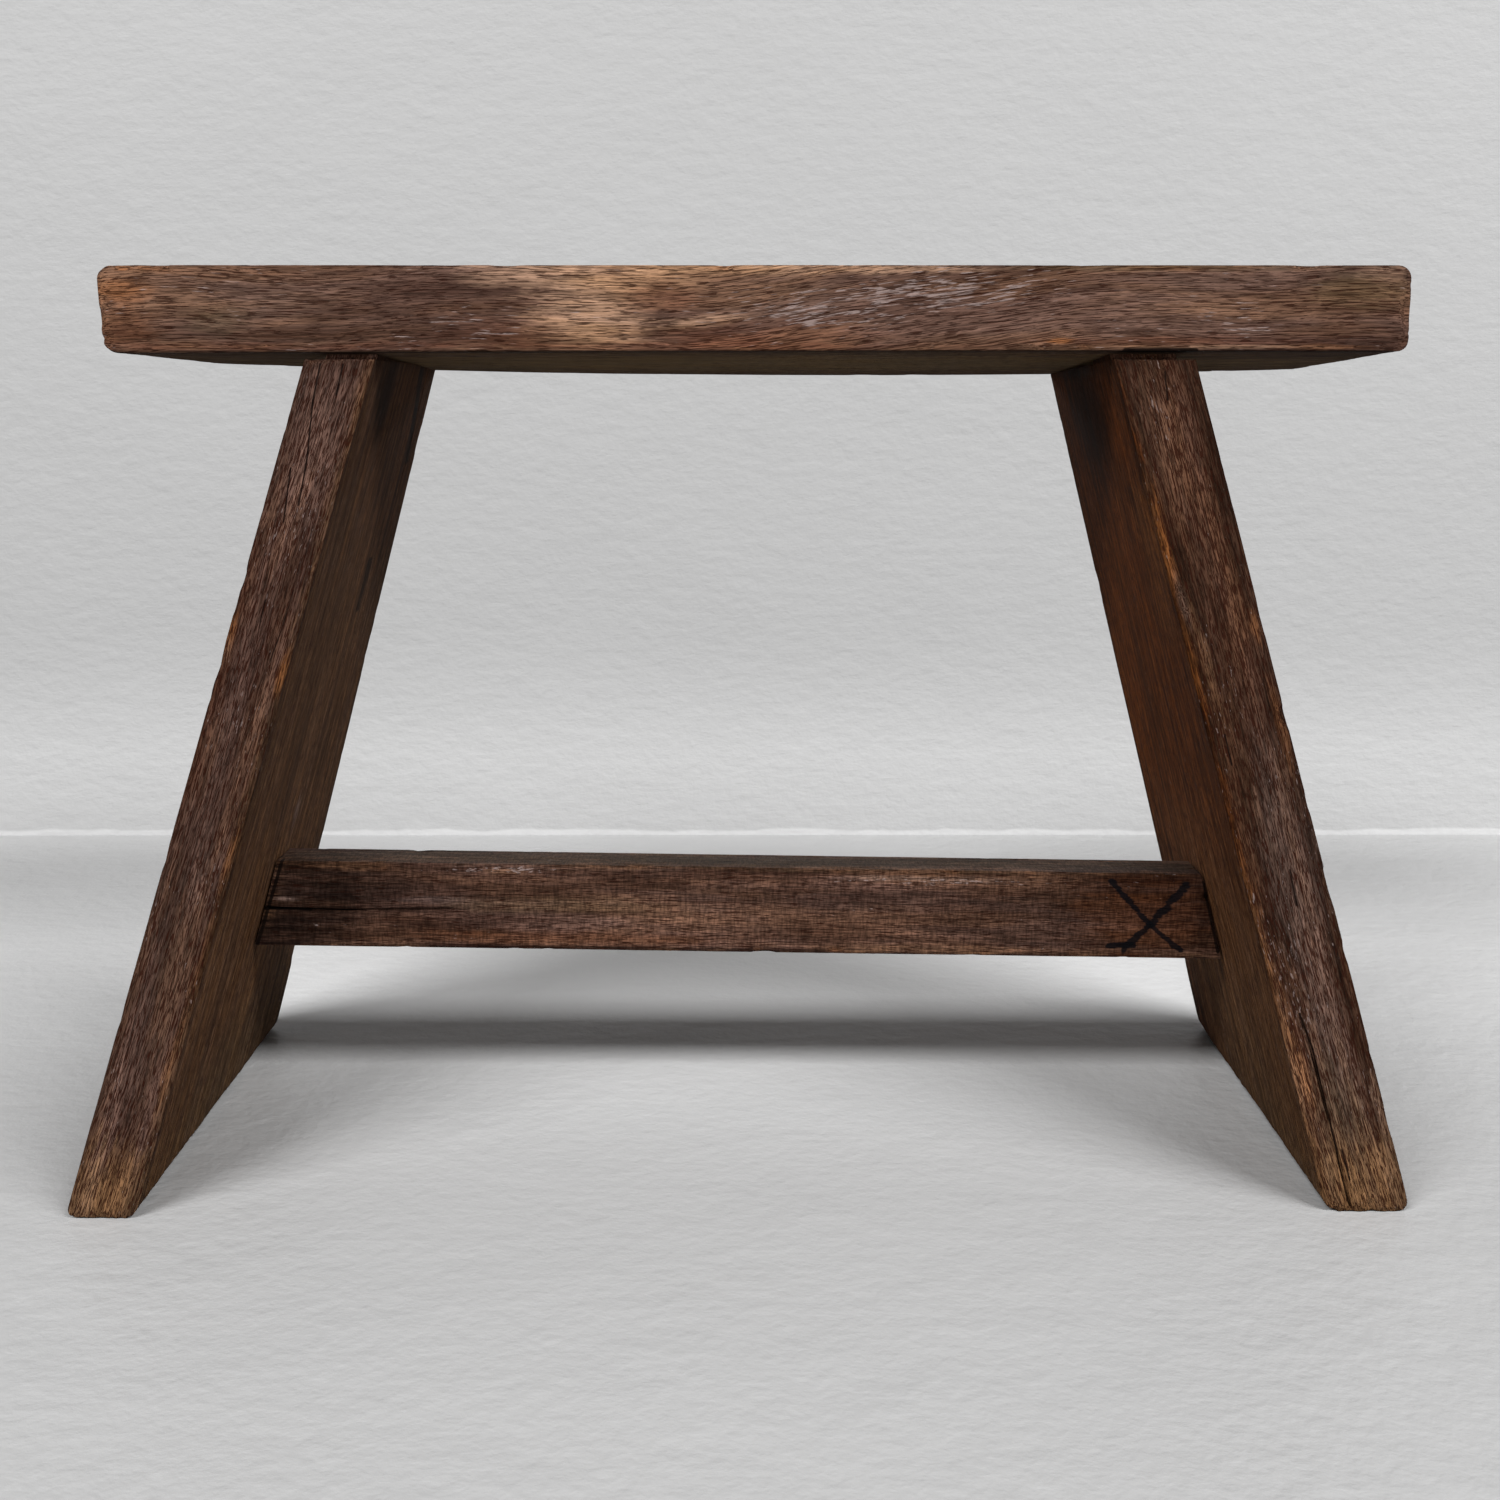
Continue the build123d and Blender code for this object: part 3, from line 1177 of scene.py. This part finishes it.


# %% Legs: stains and painted shade
inner_middle = {LEFT: (330, 720), RIGHT: (1130, 700)}
inner_reach = (330, 260, 5)
left_patches = seen_marks(
    leg_inside[LEFT],
    ("dull inside", 0.95, inner_middle[LEFT], inner_reach),
    ("low inside", 0.4, (230, 1000), (90, 200, 5)),
    ("rust", 0.4, (415, 430), (60, 130, 5)),
)
left_patches += seen_marks(
    leg_front,
    ("pink", 0.3, (305, 480), (30, 12, 9)),
    ("orange", 0.7, (231, 629), (9, 10, 2.6)),
    ("tan", 0.3, (226, 650), (7, 10, 2.6)),
    ("orange", 0.7, (283, 672), (10, 8, 2.2)),
    ("orange", 0.4, (230, 860), (16, 8, 2)),
    ("rust", 0.4, (203, 960), (30, 8, 2)),
    ("orange", 0.25, (172, 1060), (22, 8, 2)),
    ("red", 0.4, (212, 700), (60, 8, 4)),
    ("pink", 0.4, (118, 1075), (18, 12, 6)),
    ("grey", 0.3, (170, 980), (60, 10, 12)),
    ("foot", 0.75, (108, 1206), (26, 200, 40)),
)
left_patches += seen_marks(
    leg_inside[LEFT],
    ("olive", 0.5, (240, 1060), (40, 120, 6)),
    ("dust", 0.2, (299, 812), (9, 7, 4)),
    # darker at the top of the inner face, under the seat
    ("black", 0.85, (388, 396), (28, 26, 5)),
)
right_patches = seen_marks(
    leg_inside[RIGHT],
    ("warm inside", 0.95, inner_middle[RIGHT], inner_reach),
    ("low inside", 0.8, (1240, 1010), (90, 200, 5)),
    ("rust", 0.5, (1075, 420), (50, 130, 5)),
)
right_patches += seen_marks(
    leg_front,
    ("pink", 0.25, (1160, 430), (34, 12, 7)),
    ("orange", 0.6, (1155, 530), (20, 12, 4.4)),
    ("orange", 0.5, (1168, 570), (12, 12, 4)),
    ("pale", 0.3, (1182, 600), (12, 7, 2)),
    ("orange", 0.4, (1190, 655), (20, 8, 2.4)),
    ("rubbed", 0.35, (1206, 660), (24, 8, 2.4)),
    ("orange", 0.4, (1254, 625), (8, 8, 2)),
    ("orange", 0.3, (1282, 730), (20, 8, 2)),
    ("grey", 0.6, (1290, 860), (46, 10, 12)),
    ("grey", 0.6, (1335, 1060), (56, 10, 9)),
    ("olive", 0.3, (1340, 1120), (30, 10, 12)),
    ("tan", 0.35, (1303, 1085), (15, 8, 3)),
    ("orange", 0.4, (1303, 1080), (15, 8, 3)),
    ("orange", 0.4, (1272, 1000), (20, 8, 2.4)),
    ("tan", 0.4, (1380, 1110), (20, 8, 2.2)),
    ("foot", 0.8, (1367, 1198), (26, 200, 40)),
)
right_patches += seen_marks(
    leg_inside[RIGHT],
    ("olive", 0.35, (1240, 1060), (44, 110, 8)),
    # painted shade: the two black patches darken the top of the right leg's inner face under the
    # seat
    ("black", 0.85, (1075, 368), (6, 70, 36)),
    ("black", 0.8, (1086, 415), (34, 60, 6)),
    ("ember", 0.6, (1114, 430), (28, 26, 5)),
    ("orange", 0.5, (1144, 530), (24, 32, 5)),
    ("orange", 0.35, (1158, 600), (20, 28, 5)),
)
leg_patches = {LEFT: left_patches, RIGHT: right_patches}
leg_dust = {
    LEFT: [(0.08, (300, 530), (20, 14, 9)), (0.12, (118, 1068), (9, 14, 5))],
    RIGHT: [(0.05, (1165, 410), (22, 14, 6)), (0.03, (1292, 960), (24, 14, 7))],
}
print("leg stains:", len(left_patches), "and", len(right_patches))

# %% Legs: checks, splits, nicks and painted shadows under the seat
leg_splits = {
    LEFT: [((287, 572), (278, 600), (269, 629), (256, 658), (245, 686))],
    RIGHT: [
        ((1296, 1010), (1300, 1018), (1307, 1036), (1320, 1083), (1327, 1114), (1333, 1142),
         (1344, 1178), (1351, 1207), (1353, 1220)),
    ],
}
inner_splits = {
    LEFT: [((431, 366), (424, 392), (411, 447), (400, 490))],
    RIGHT: [((1205, 990), (1222, 1040), (1236, 1080))],
}
outer_splits = {
    LEFT: [((22, -4), (20, 30), (23, 66)), ((-50, 60), (-48, 110), (-49, 150)),
           ((38, 190), (36, 240), (37, 281))],
    RIGHT: [((-30, -4), (-29, 26), (-32, 58)), ((48, 90), (47, 130)),
            ((-12, 200), (-10, 240), (-11, 281))],
}
leg_nicks = {
    LEFT: [((246, 573), (242, 580)), ((219, 662), (215, 670)), ((120, 1053), (114, 1060))],
    RIGHT: [((1326, 874), (1330, 886), (1333, 894)), ((1284, 712), (1286, 718)),
            ((1180, 596), (1184, 606))],
}
leg_checks = {
    LEFT: [
        ((320, 364), (313, 400), (307, 460), (299, 505)),
        ((343, 364), (336, 395)),
        ((291, 468), (284, 522)),
        ((294, 590), (284, 625), (270, 663), (256, 694)),
        ((266, 600), (246, 690), (236, 716)),
        ((234, 716), (214, 785)),
        ((252, 718), (231, 796)),
        ((168, 901), (152, 990), (137, 1082)),
        ((196, 880), (180, 960)),
    ],
    RIGHT: [
        ((1300, 1014), (1313, 1049), (1326, 1105), (1336, 1146), (1348, 1202)),
        ((1165, 372), (1168, 400)),
        ((1290, 870), (1297, 905)),
        ((1225, 735), (1232, 765)),
        ((1342, 1150), (1350, 1180)),
    ],
}
inner_checks = {
    LEFT: [((424, 366), (417, 410)), ((417, 410), (408, 462)), ((372, 560), (360, 610))],
    RIGHT: [((1212, 930), (1226, 990))],
}
# painted shadow: black lines along the top of each leg's front, for the shade in the gap under the
# seat's edge
leg_top_shadows = {
    LEFT: ("black", 0.97, (296, 354), (378, 354), 2.8, 0.4),
    RIGHT: ("black", 0.97, (1120, 354), (1216, 354), 3.6, 0.4),
}


def leg_lines(side):
    """The drawn lines of a leg: fine checks, and a painted shadow in the gap under the seat."""
    pairs = [ends for course in leg_checks[side] for ends in zip(course, course[1:])]
    lines = seen_lines(leg_front, [("black", 0.9, *ends, 0.6, 0.9) for ends in pairs])
    inner = [("black", 0.85, *ends, 2.4, 1.3) for ends in inner_checks[side]]
    return lines + seen_lines(leg_inside[side], inner) + seen_lines(leg_front, [leg_top_shadows[side]])


def leg_split_lines(side):
    """The split courses of a leg's front, inner face and outer face."""
    courses = seen_courses(leg_front, leg_splits[side])
    courses += seen_courses(leg_inside[side], inner_splits[side])
    for course in outer_splits[side]:
        course = [(y * mm, height * mm) for y, height in course]
        courses.append([Vector((leg_x(side, 0, height), y, height)) for y, height in course])
    return courses


for side in SIDES:
    print(side_name[side], "leg:", len(leg_lines(side)), "lines on it,", end=" ")
    print(len(leg_split_lines(side)), "splits and", len(leg_nicks[side]), "nicks")

# %% Legs: the rail through them
ROUNDS = 4


def rail_z(x):
    """Height of the rail's middle line at an x."""
    return rail_middle - x * math.tan(rail_fall)


def rail_ring(side, depth_in, half_height, half_width):
    """A section of the rail, cut by a plane this far into a leg. Its x and z settle in rounds."""
    corners = []
    for up in (-half_height, half_height):
        x = leg_x(side, depth_in, rail_middle)
        for _ in range(ROUNDS):
            x = leg_x(side, depth_in, rail_z(x) + up)
        corners += [Vector((x, y, rail_z(x) + up)) for y in (-half_width, half_width)]
    return corners


def rail_prism(side, grow, outer_depth):
    """The rail's tenon from a depth in a leg's wood to past its inner face, grown all round."""
    half_height = rail_height / 2 - rail_shoulder + grow
    half_width = rail_depth / 2 - rail_shoulder + grow
    depths = (outer_depth, leg_thickness[side] + overlap)
    rings = [rail_ring(side, depth, half_height, half_width) for depth in depths]
    return rings if side == LEFT else rings[::-1]


for side in SIDES:
    height = rail_z(leg_x(side, leg_thickness[side], rail_middle))
    print("rail's height at the", side_name[side], "leg, mm:", round(height / mm, 1))

# %% Legs: pieces
leg_dark = {LEFT: paint(50, 33, 26), RIGHT: paint(26, 14, 8)}
leg_light = {LEFT: paint(78, 57, 48), RIGHT: paint(64, 43, 32)}
tenon_sink = 0.2 * mm
tenon_heights = (underside - overlap, top - tenon_sink)
long_flecks = (330, 1600, 1600)
for side in SIDES:
    name = side_name[side]
    wood = old_wood(
        f"{name}_leg_wood",
        leg_board(side),
        leg_dark[side],
        leg_light[side],
        leg_patches[side],
        leg_lines(side),
        seen_marks(leg_front, *leg_dust[side]),
        seed=10.0 + side,
        pore_strength=0.9,
        veins=0.55,
        dust=0.35,
        fleck_share=-0.07,
        rubbing=0.2,
        chips=0.25,
        # painted shade on the rubbed arrises of the legs
        arris_shade=0.35,
        streaks=(0.34, 1.72),
        tones=(0.6, 1.42),
        banded=(0.55, seen_on(leg_inside[side], inner_middle[side]), inner_reach),
        grain={
            "Pith": (0, 0.02, -side * 0.09),
            "Wander": 9 * mm,
            "Pore share": 0.45,
            "Shortness": 1.8,
            "Fleck scale": long_flecks,
        },
    )
    nicks = seen_courses(leg_front, leg_nicks[side])
    tenons = tenon_rings(side, 0, *tenon_heights)
    slots = [rail_prism(side, play, -overlap), *wedge_rings(side, play)]
    make_piece(
        f"{name}_leg",
        leg_cage(side),
        "leg_wood",
        wood,
        (130, 190, 50),
        edge_radius=1.8,
        start_radius=4.2,
        end_radius=0.5,
        chip_depth=0.6,
        fray_depth=0.3,
        split_depth=1.6,
        split_width=0.6,
        nick_depth=nick_depth[side],
        nick_width=nick_width[side],
        seed=4.0 + side,
        splits=surface_lines(f"{name}_splits", leg_split_lines(side), leg_front_normal * 0.4 * mm),
        nicks=surface_lines(f"{name}_nicks", nicks, leg_front_normal * 0.3 * mm),
        added=prisms(f"{name}_tenons", tenons),
        removed=prisms(f"{name}_slots", slots),
    )

# %% [markdown]
# ## The rail
# A bar between the legs with a shoulder against each of them. Its thin tenons go right
# through the legs and are wedged from outside. A long drying crack runs in from its left
# end, and the carpenter's cross in black ink shows near its right end. The ink could be a
# flat mesh over the wood, but as a layer of the wood's colour it soaks into the grain.

# %% Rail
rail_front = (Vector((0, -rail_depth / 2, 0)), FRONT)
shoulder_gap = 0.3 * mm
rail_ends = [
    rail_ring(side, leg_thickness[side] - shoulder_gap, rail_height / 2, rail_depth / 2)
    for side in SIDES
]
rail_splits = [
    ((255, 908), (265, 908), (310, 910), (350, 911), (390, 910)),
    ((390, 910), (420, 910), (452, 909)),
]
rail_top = Vector((0, 0, rail_middle + rail_height / 2))
rail_patches = seen_marks(
    rail_front,
    ("black", 0.75, (285, 905), (40, 16, 26)),
    ("black", 0.4, (370, 885), (30, 14, 14)),
    ("pale", 0.6, (284, 899), (6, 4, 1.2)),
    ("rubbed", 0.6, (505, 872), (9, 6, 1.6)),
    ("pink", 0.5, (560, 868), (60, 6, 1.2)),
    ("pink", 0.4, (700, 908), (110, 14, 11)),
    ("pale", 0.5, (930, 879), (44, 6, 1.4)),
    ("pale", 0.3, (430, 900), (16, 6, 2)),
    ("olive", 0.35, (560, 905), (50, 10, 4)),
    ("rust", 0.3, (560, 938), (80, 10, 3)),
    # painted shadow: a thin black patch along the rail's bottom edge, for the shade under it
    ("black", 0.7, (740, 950), (290, 12, 0.9)),
    ("rubbed", 0.4, (950, 949), (60, 10, 2)),
    ("black", 0.3, (1020, 915), (56, 12, 20)),
    ("rust", 0.5, (1150, 915), (34, 12, 20)),
    ("black", 0.45, (1208, 915), (6, 14, 20)),
)
rail_patches += [(tint, 0.5, rail_top, (260, 13, 2.4)) for tint in ("olive", "black")]
rail_dust = seen_marks(
    rail_front, (0.19, (500, 870), (30, 10, 2)), (0.19, (930, 882), (60, 10, 2))
)
rail_lines = [
    ("ink", 0.93, (1112, 882), (1151, 926), 2.2, 2.0),
    ("ink", 0.93, (1151, 926), (1181, 951), 2.0, 2.0),
    ("ink", 0.93, (1186, 886), (1150, 925), 3.2, 2.0),
    ("ink", 0.93, (1150, 925), (1124, 949), 2.6, 2.0),
    ("ink", 0.93, (1134, 946), (1108, 946), 2.4, 2.0),
    ("black", 1.0, (252, 908), (310, 910), 1.3, 1.0),
    ("black", 0.9, (310, 910), (390, 910), 0.7, 1.3),
    ("black", 0.6, (390, 910), (452, 909), 0.4, 1.3),
    # painted shade: the last two lines are black where the rail's ends meet the legs, for the
    # shade in those joints
    ("black", 0.9, (284, 854), (257, 946), 1.4, 0.2),
    ("black", 0.9, (1204, 882), (1218, 952), 1.4, 0.2),
]
rail_wood = old_wood(
    "stretcher_wood",
    Board(Vector((0, 0, rail_middle)), rail_fall),
    paint(41, 25, 19),
    paint(91, 66, 55),
    rail_patches,
    seen_lines(rail_front, rail_lines),
    rail_dust,
    seed=20.0,
    sawn=0.3,
    fleck_share=-0.14,
    streaks=(0.48, 1.5),
    grain={
        "Wander": 2 * mm,
        "Pore share": 0.41,
        "Shortness": 1.5,
        "Fleck scale": long_flecks,
    },
)
make_piece(
    "stretcher",
    cage_points(*rail_ends),
    "stretcher_wood",
    rail_wood,
    (200, 44, 66),
    edge_radius=1.2,
    face_radius=0.7,
    start_radius=0.3,
    end_radius=0.3,
    dent_depth=0.2,
    split_width=0.8,
    split_depth=2.4,
    seed=9.0,
    splits=surface_lines("rail_splits", seen_courses(rail_front, rail_splits), FRONT * 0.3 * mm),
    added=prisms("rail_tenons", [rail_prism(side, 0, shoulder_gap) for side in SIDES]),
)

# %% [markdown]
# ## The wedges
# Thin slips of wood, driven in from outside, which spread each tenon in its mortise. Only
# their thick ends show, hammered level with the wood around them, so plain cages with
# hardly rounded edges are enough.

# %% Wedges
wedge_wood = old_wood(
    "wedge_wood",
    Board(Vector((0, 0, top)), -math.pi / 2),
    paint(48, 32, 25),
    paint(88, 64, 50),
    seed=30.0,
)


def rail_wedge_rings(side):
    """A rail wedge, level with the leg's outer face at its thick end."""
    depths = {rail_wedge_length: wedge_tip / 2, 0: rail_wedge_head / 2}
    half_width = rail_depth / 2 - rail_shoulder
    rings = [rail_ring(side, depth, half, half_width) for depth, half in depths.items()]
    return rings if side == RIGHT else rings[::-1]


def make_wedge(name, rings, cells, end_radius, seed):
    """A slip of wood in the place of one CAD wedge."""
    radii = {"edge_radius": 0.2, "face_radius": 0.2, "start_radius": 0.2}
    radii["end_radius"] = end_radius
    cage = cage_points(*rings)
    make_piece(name, cage, "wedge_wood", wedge_wood, cells, **radii, chip_depth=0.3, seed=seed)


for side in SIDES:
    for index, (end, rings) in enumerate(zip(ENDS.values(), wedge_rings(side))):
        wedge_name = f"wedge_{side_name[side]}_{end}"
        make_wedge(wedge_name, rings, (24, 40, 6), 0.3, 12.0 + side + index)
for side in SIDES:
    wedge_name = f"wedge_stretcher_{side_name[side]}"
    make_wedge(wedge_name, rail_wedge_rings(side), (20, 16, 6), 0.2, 15.0 + side)

for helper in list(bpy.data.objects):
    if helper.type == "MESH" and "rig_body" not in helper and helper.parent is None:
        bpy.data.objects.remove(helper)

# %% [markdown]
# ## Floor and wall
# The stool stands on a floor of pale gloss paint in front of a pale wall. Both are painted
# grey with faint lumps under the paint, with a white line of paint along the wall's foot.
# Where they meet, both are painted lighter: painted light for the light that the lamps leave
# short near the wall's foot. They look pale, but send little light back to the stool,
# because the real shadows are deep. A photograph behind the stool would be simpler, but
# would hold no shadow. The wall can be seen through from behind.

# %% Floor and wall
wall_distance = 0.471
stage_reach = 3.0
PAINT_GLOSS = 0.15
PAINT_DEPTH = 2.5 * mm
BEAD_NOISE = (26, 3, 0.5, 0)
BEAD_WAVER = 6 * mm
BEAD_TOP = (2.5 * mm, 4.5 * mm)
PAINT_RELIEF = (
    ((9, 3, 0.5, 1), 1.0),
    (((60, 60, 140), 6, 0.6, 2), 0.3),
    ((170, 2, 0.5, 3), 0.16),
)


def grey(level):
    """A grey as it looks on screen, from 0 to 255."""
    return paint(level, level, level)


def pale_paint(name, axis, colour, meet, painted_light_span, bounce, roughness):
    """Pale paint that bounces little light, with painted light where the wall and floor meet."""
    material, tree, shader = new_material(name)
    here = wire_in(tree, "ShaderNodeTexCoord", output="Object")
    # painted light: lighter towards where the wall and floor meet, where the lamps light them less
    colour = mix(step(axis_of(here, axis), *painted_light_span), grey(meet), grey(colour), "RGBA")
    if axis == 2:
        bead = axis_of(here, 2) + (noise(here, BEAD_NOISE) - 0.5) * BEAD_WAVER
        colour = mix(step(bead, *BEAD_TOP), grey(250), colour, "RGBA")
    rays = [
        wire_in(tree, "ShaderNodeLightPath", output=ray)
        for ray in ("Is Camera Ray", "Is Glossy Ray")
    ]
    looked_at = combine("MAXIMUM", *rays)
    waves = sum(noise(here, kind) * height for kind, height in PAINT_RELIEF)
    relief = {"Strength": 1.0, "Distance": PAINT_DEPTH, "Height": waves}
    fill(shader, {
        "Base Color": mix(looked_at, grey(bounce), colour, "RGBA"),
        "Roughness": roughness,
        "Specular IOR Level": PAINT_GLOSS,
        "Normal": wire_in(tree, "ShaderNodeBump", relief),
    })
    return material


def stage_sheet(name, low, high, material):
    """A wide sheet from one level edge to another, each given by its y and z."""
    corners = [
        (-stage_reach, *low), (stage_reach, *low), (stage_reach, *high), (-stage_reach, *high)
    ]
    sheet = mesh_object(name, corners, faces=[(0, 1, 2, 3)])
    sheet.data.materials.append(material)
    return sheet


# the 255 of the floor and the 226 of the wall are painted light where they meet
floor_paint = pale_paint("floor_paint", 1, 204, 255, (0.22, -0.1), 96, 0.42)
floor = stage_sheet("floor", (-stage_reach, 0), (stage_reach, 0), floor_paint)
wall_paint = pale_paint("wall_paint", 2, 198, 226, (0.0, 0.14), 60, 0.5)
wall = stage_sheet("wall", (wall_distance, 0), (wall_distance, stage_reach), wall_paint)
wall_tree = wall_paint.node_tree
facing = wire_in(wall_tree, "ShaderNodeNewGeometry", output="Backfacing")
to_camera = wire_in(wall_tree, "ShaderNodeLightPath", output="Is Camera Ray")
shaders = {
    0: facing * to_camera,
    1: Wire(wall_tree.nodes["Principled BSDF"].outputs[0]),
    2: wire_in(wall_tree, "ShaderNodeBsdfTransparent"),
}
see_through = wire_in(wall_tree, "ShaderNodeMixShader", shaders)
fill(wall_tree.nodes["Material Output"], {0: see_through})
print("wall", wall_distance, "m behind the stool")

# %% [markdown]
# ## Light
# Two long, level lamps stand in front, one to each side, high enough that the rail's shadow
# falls just behind it. The legs shade the floor between them from one lamp each. Two more
# lamps light nothing but the stool: a low one in front brings out the fibres of the legs and
# the seat's underside, and one behind lifts the back a little for the other views. The sky
# is pale to the camera and nearly black to the stool, because a bright one would wash out
# the shadows.

# %% Light
SKY_LIGHT = 0.04
world = bpy.data.worlds.new("world")
bpy.context.scene.world = world
world.use_nodes = True
seen = wire_in(world.node_tree, "ShaderNodeLightPath", output="Is Camera Ray")
sky_colour = mix(seen, (SKY_LIGHT, SKY_LIGHT, SKY_LIGHT, 1), grey(205), "RGBA")
fill(world.node_tree.nodes["Background"], {"Color": sky_colour})


def strip_lamp(name, place, length, width, energy):
    """A long level lamp that faces the stool."""
    lamp = bpy.data.objects.new(name, bpy.data.lights.new(name, "AREA"))
    lamp.data.shape = "RECTANGLE"
    lamp.data.size = length
    lamp.data.size_y = width
    lamp.data.energy = energy
    lamp.location = place
    towards = Vector((place[0], 0, 0.1)) - lamp.location
    lamp.rotation_euler = towards.to_track_quat("-Z", "Y").to_euler()
    lamp.visible_camera = False
    bpy.context.scene.collection.objects.link(lamp)
    print(name, energy, "W")
    return lamp


strip_lamp("left_lamp", (-1.5, -1.9, 1.78), 2.0, 0.45, 68)
strip_lamp("right_lamp", (2.3, -1.9, 1.78), 3.0, 0.45, 108)
low_lamp = strip_lamp("low_lamp", (0, -2.0, 0.25), 4.0, 0.3, 33)
back_lamp = strip_lamp("back_lamp", (0, 2.2, 1.4), 1.6, 1.0, 60)
stool_only = bpy.data.collections.new("stool_only")
for piece in bpy.data.objects:
    if "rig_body" in piece:
        stool_only.objects.link(piece)
for lamp in (low_lamp, back_lamp):
    lamp.light_linking.receiver_collection = stool_only
    lamp.light_linking.blocker_collection = stool_only
bpy.context.scene.view_settings.view_transform = "Standard"
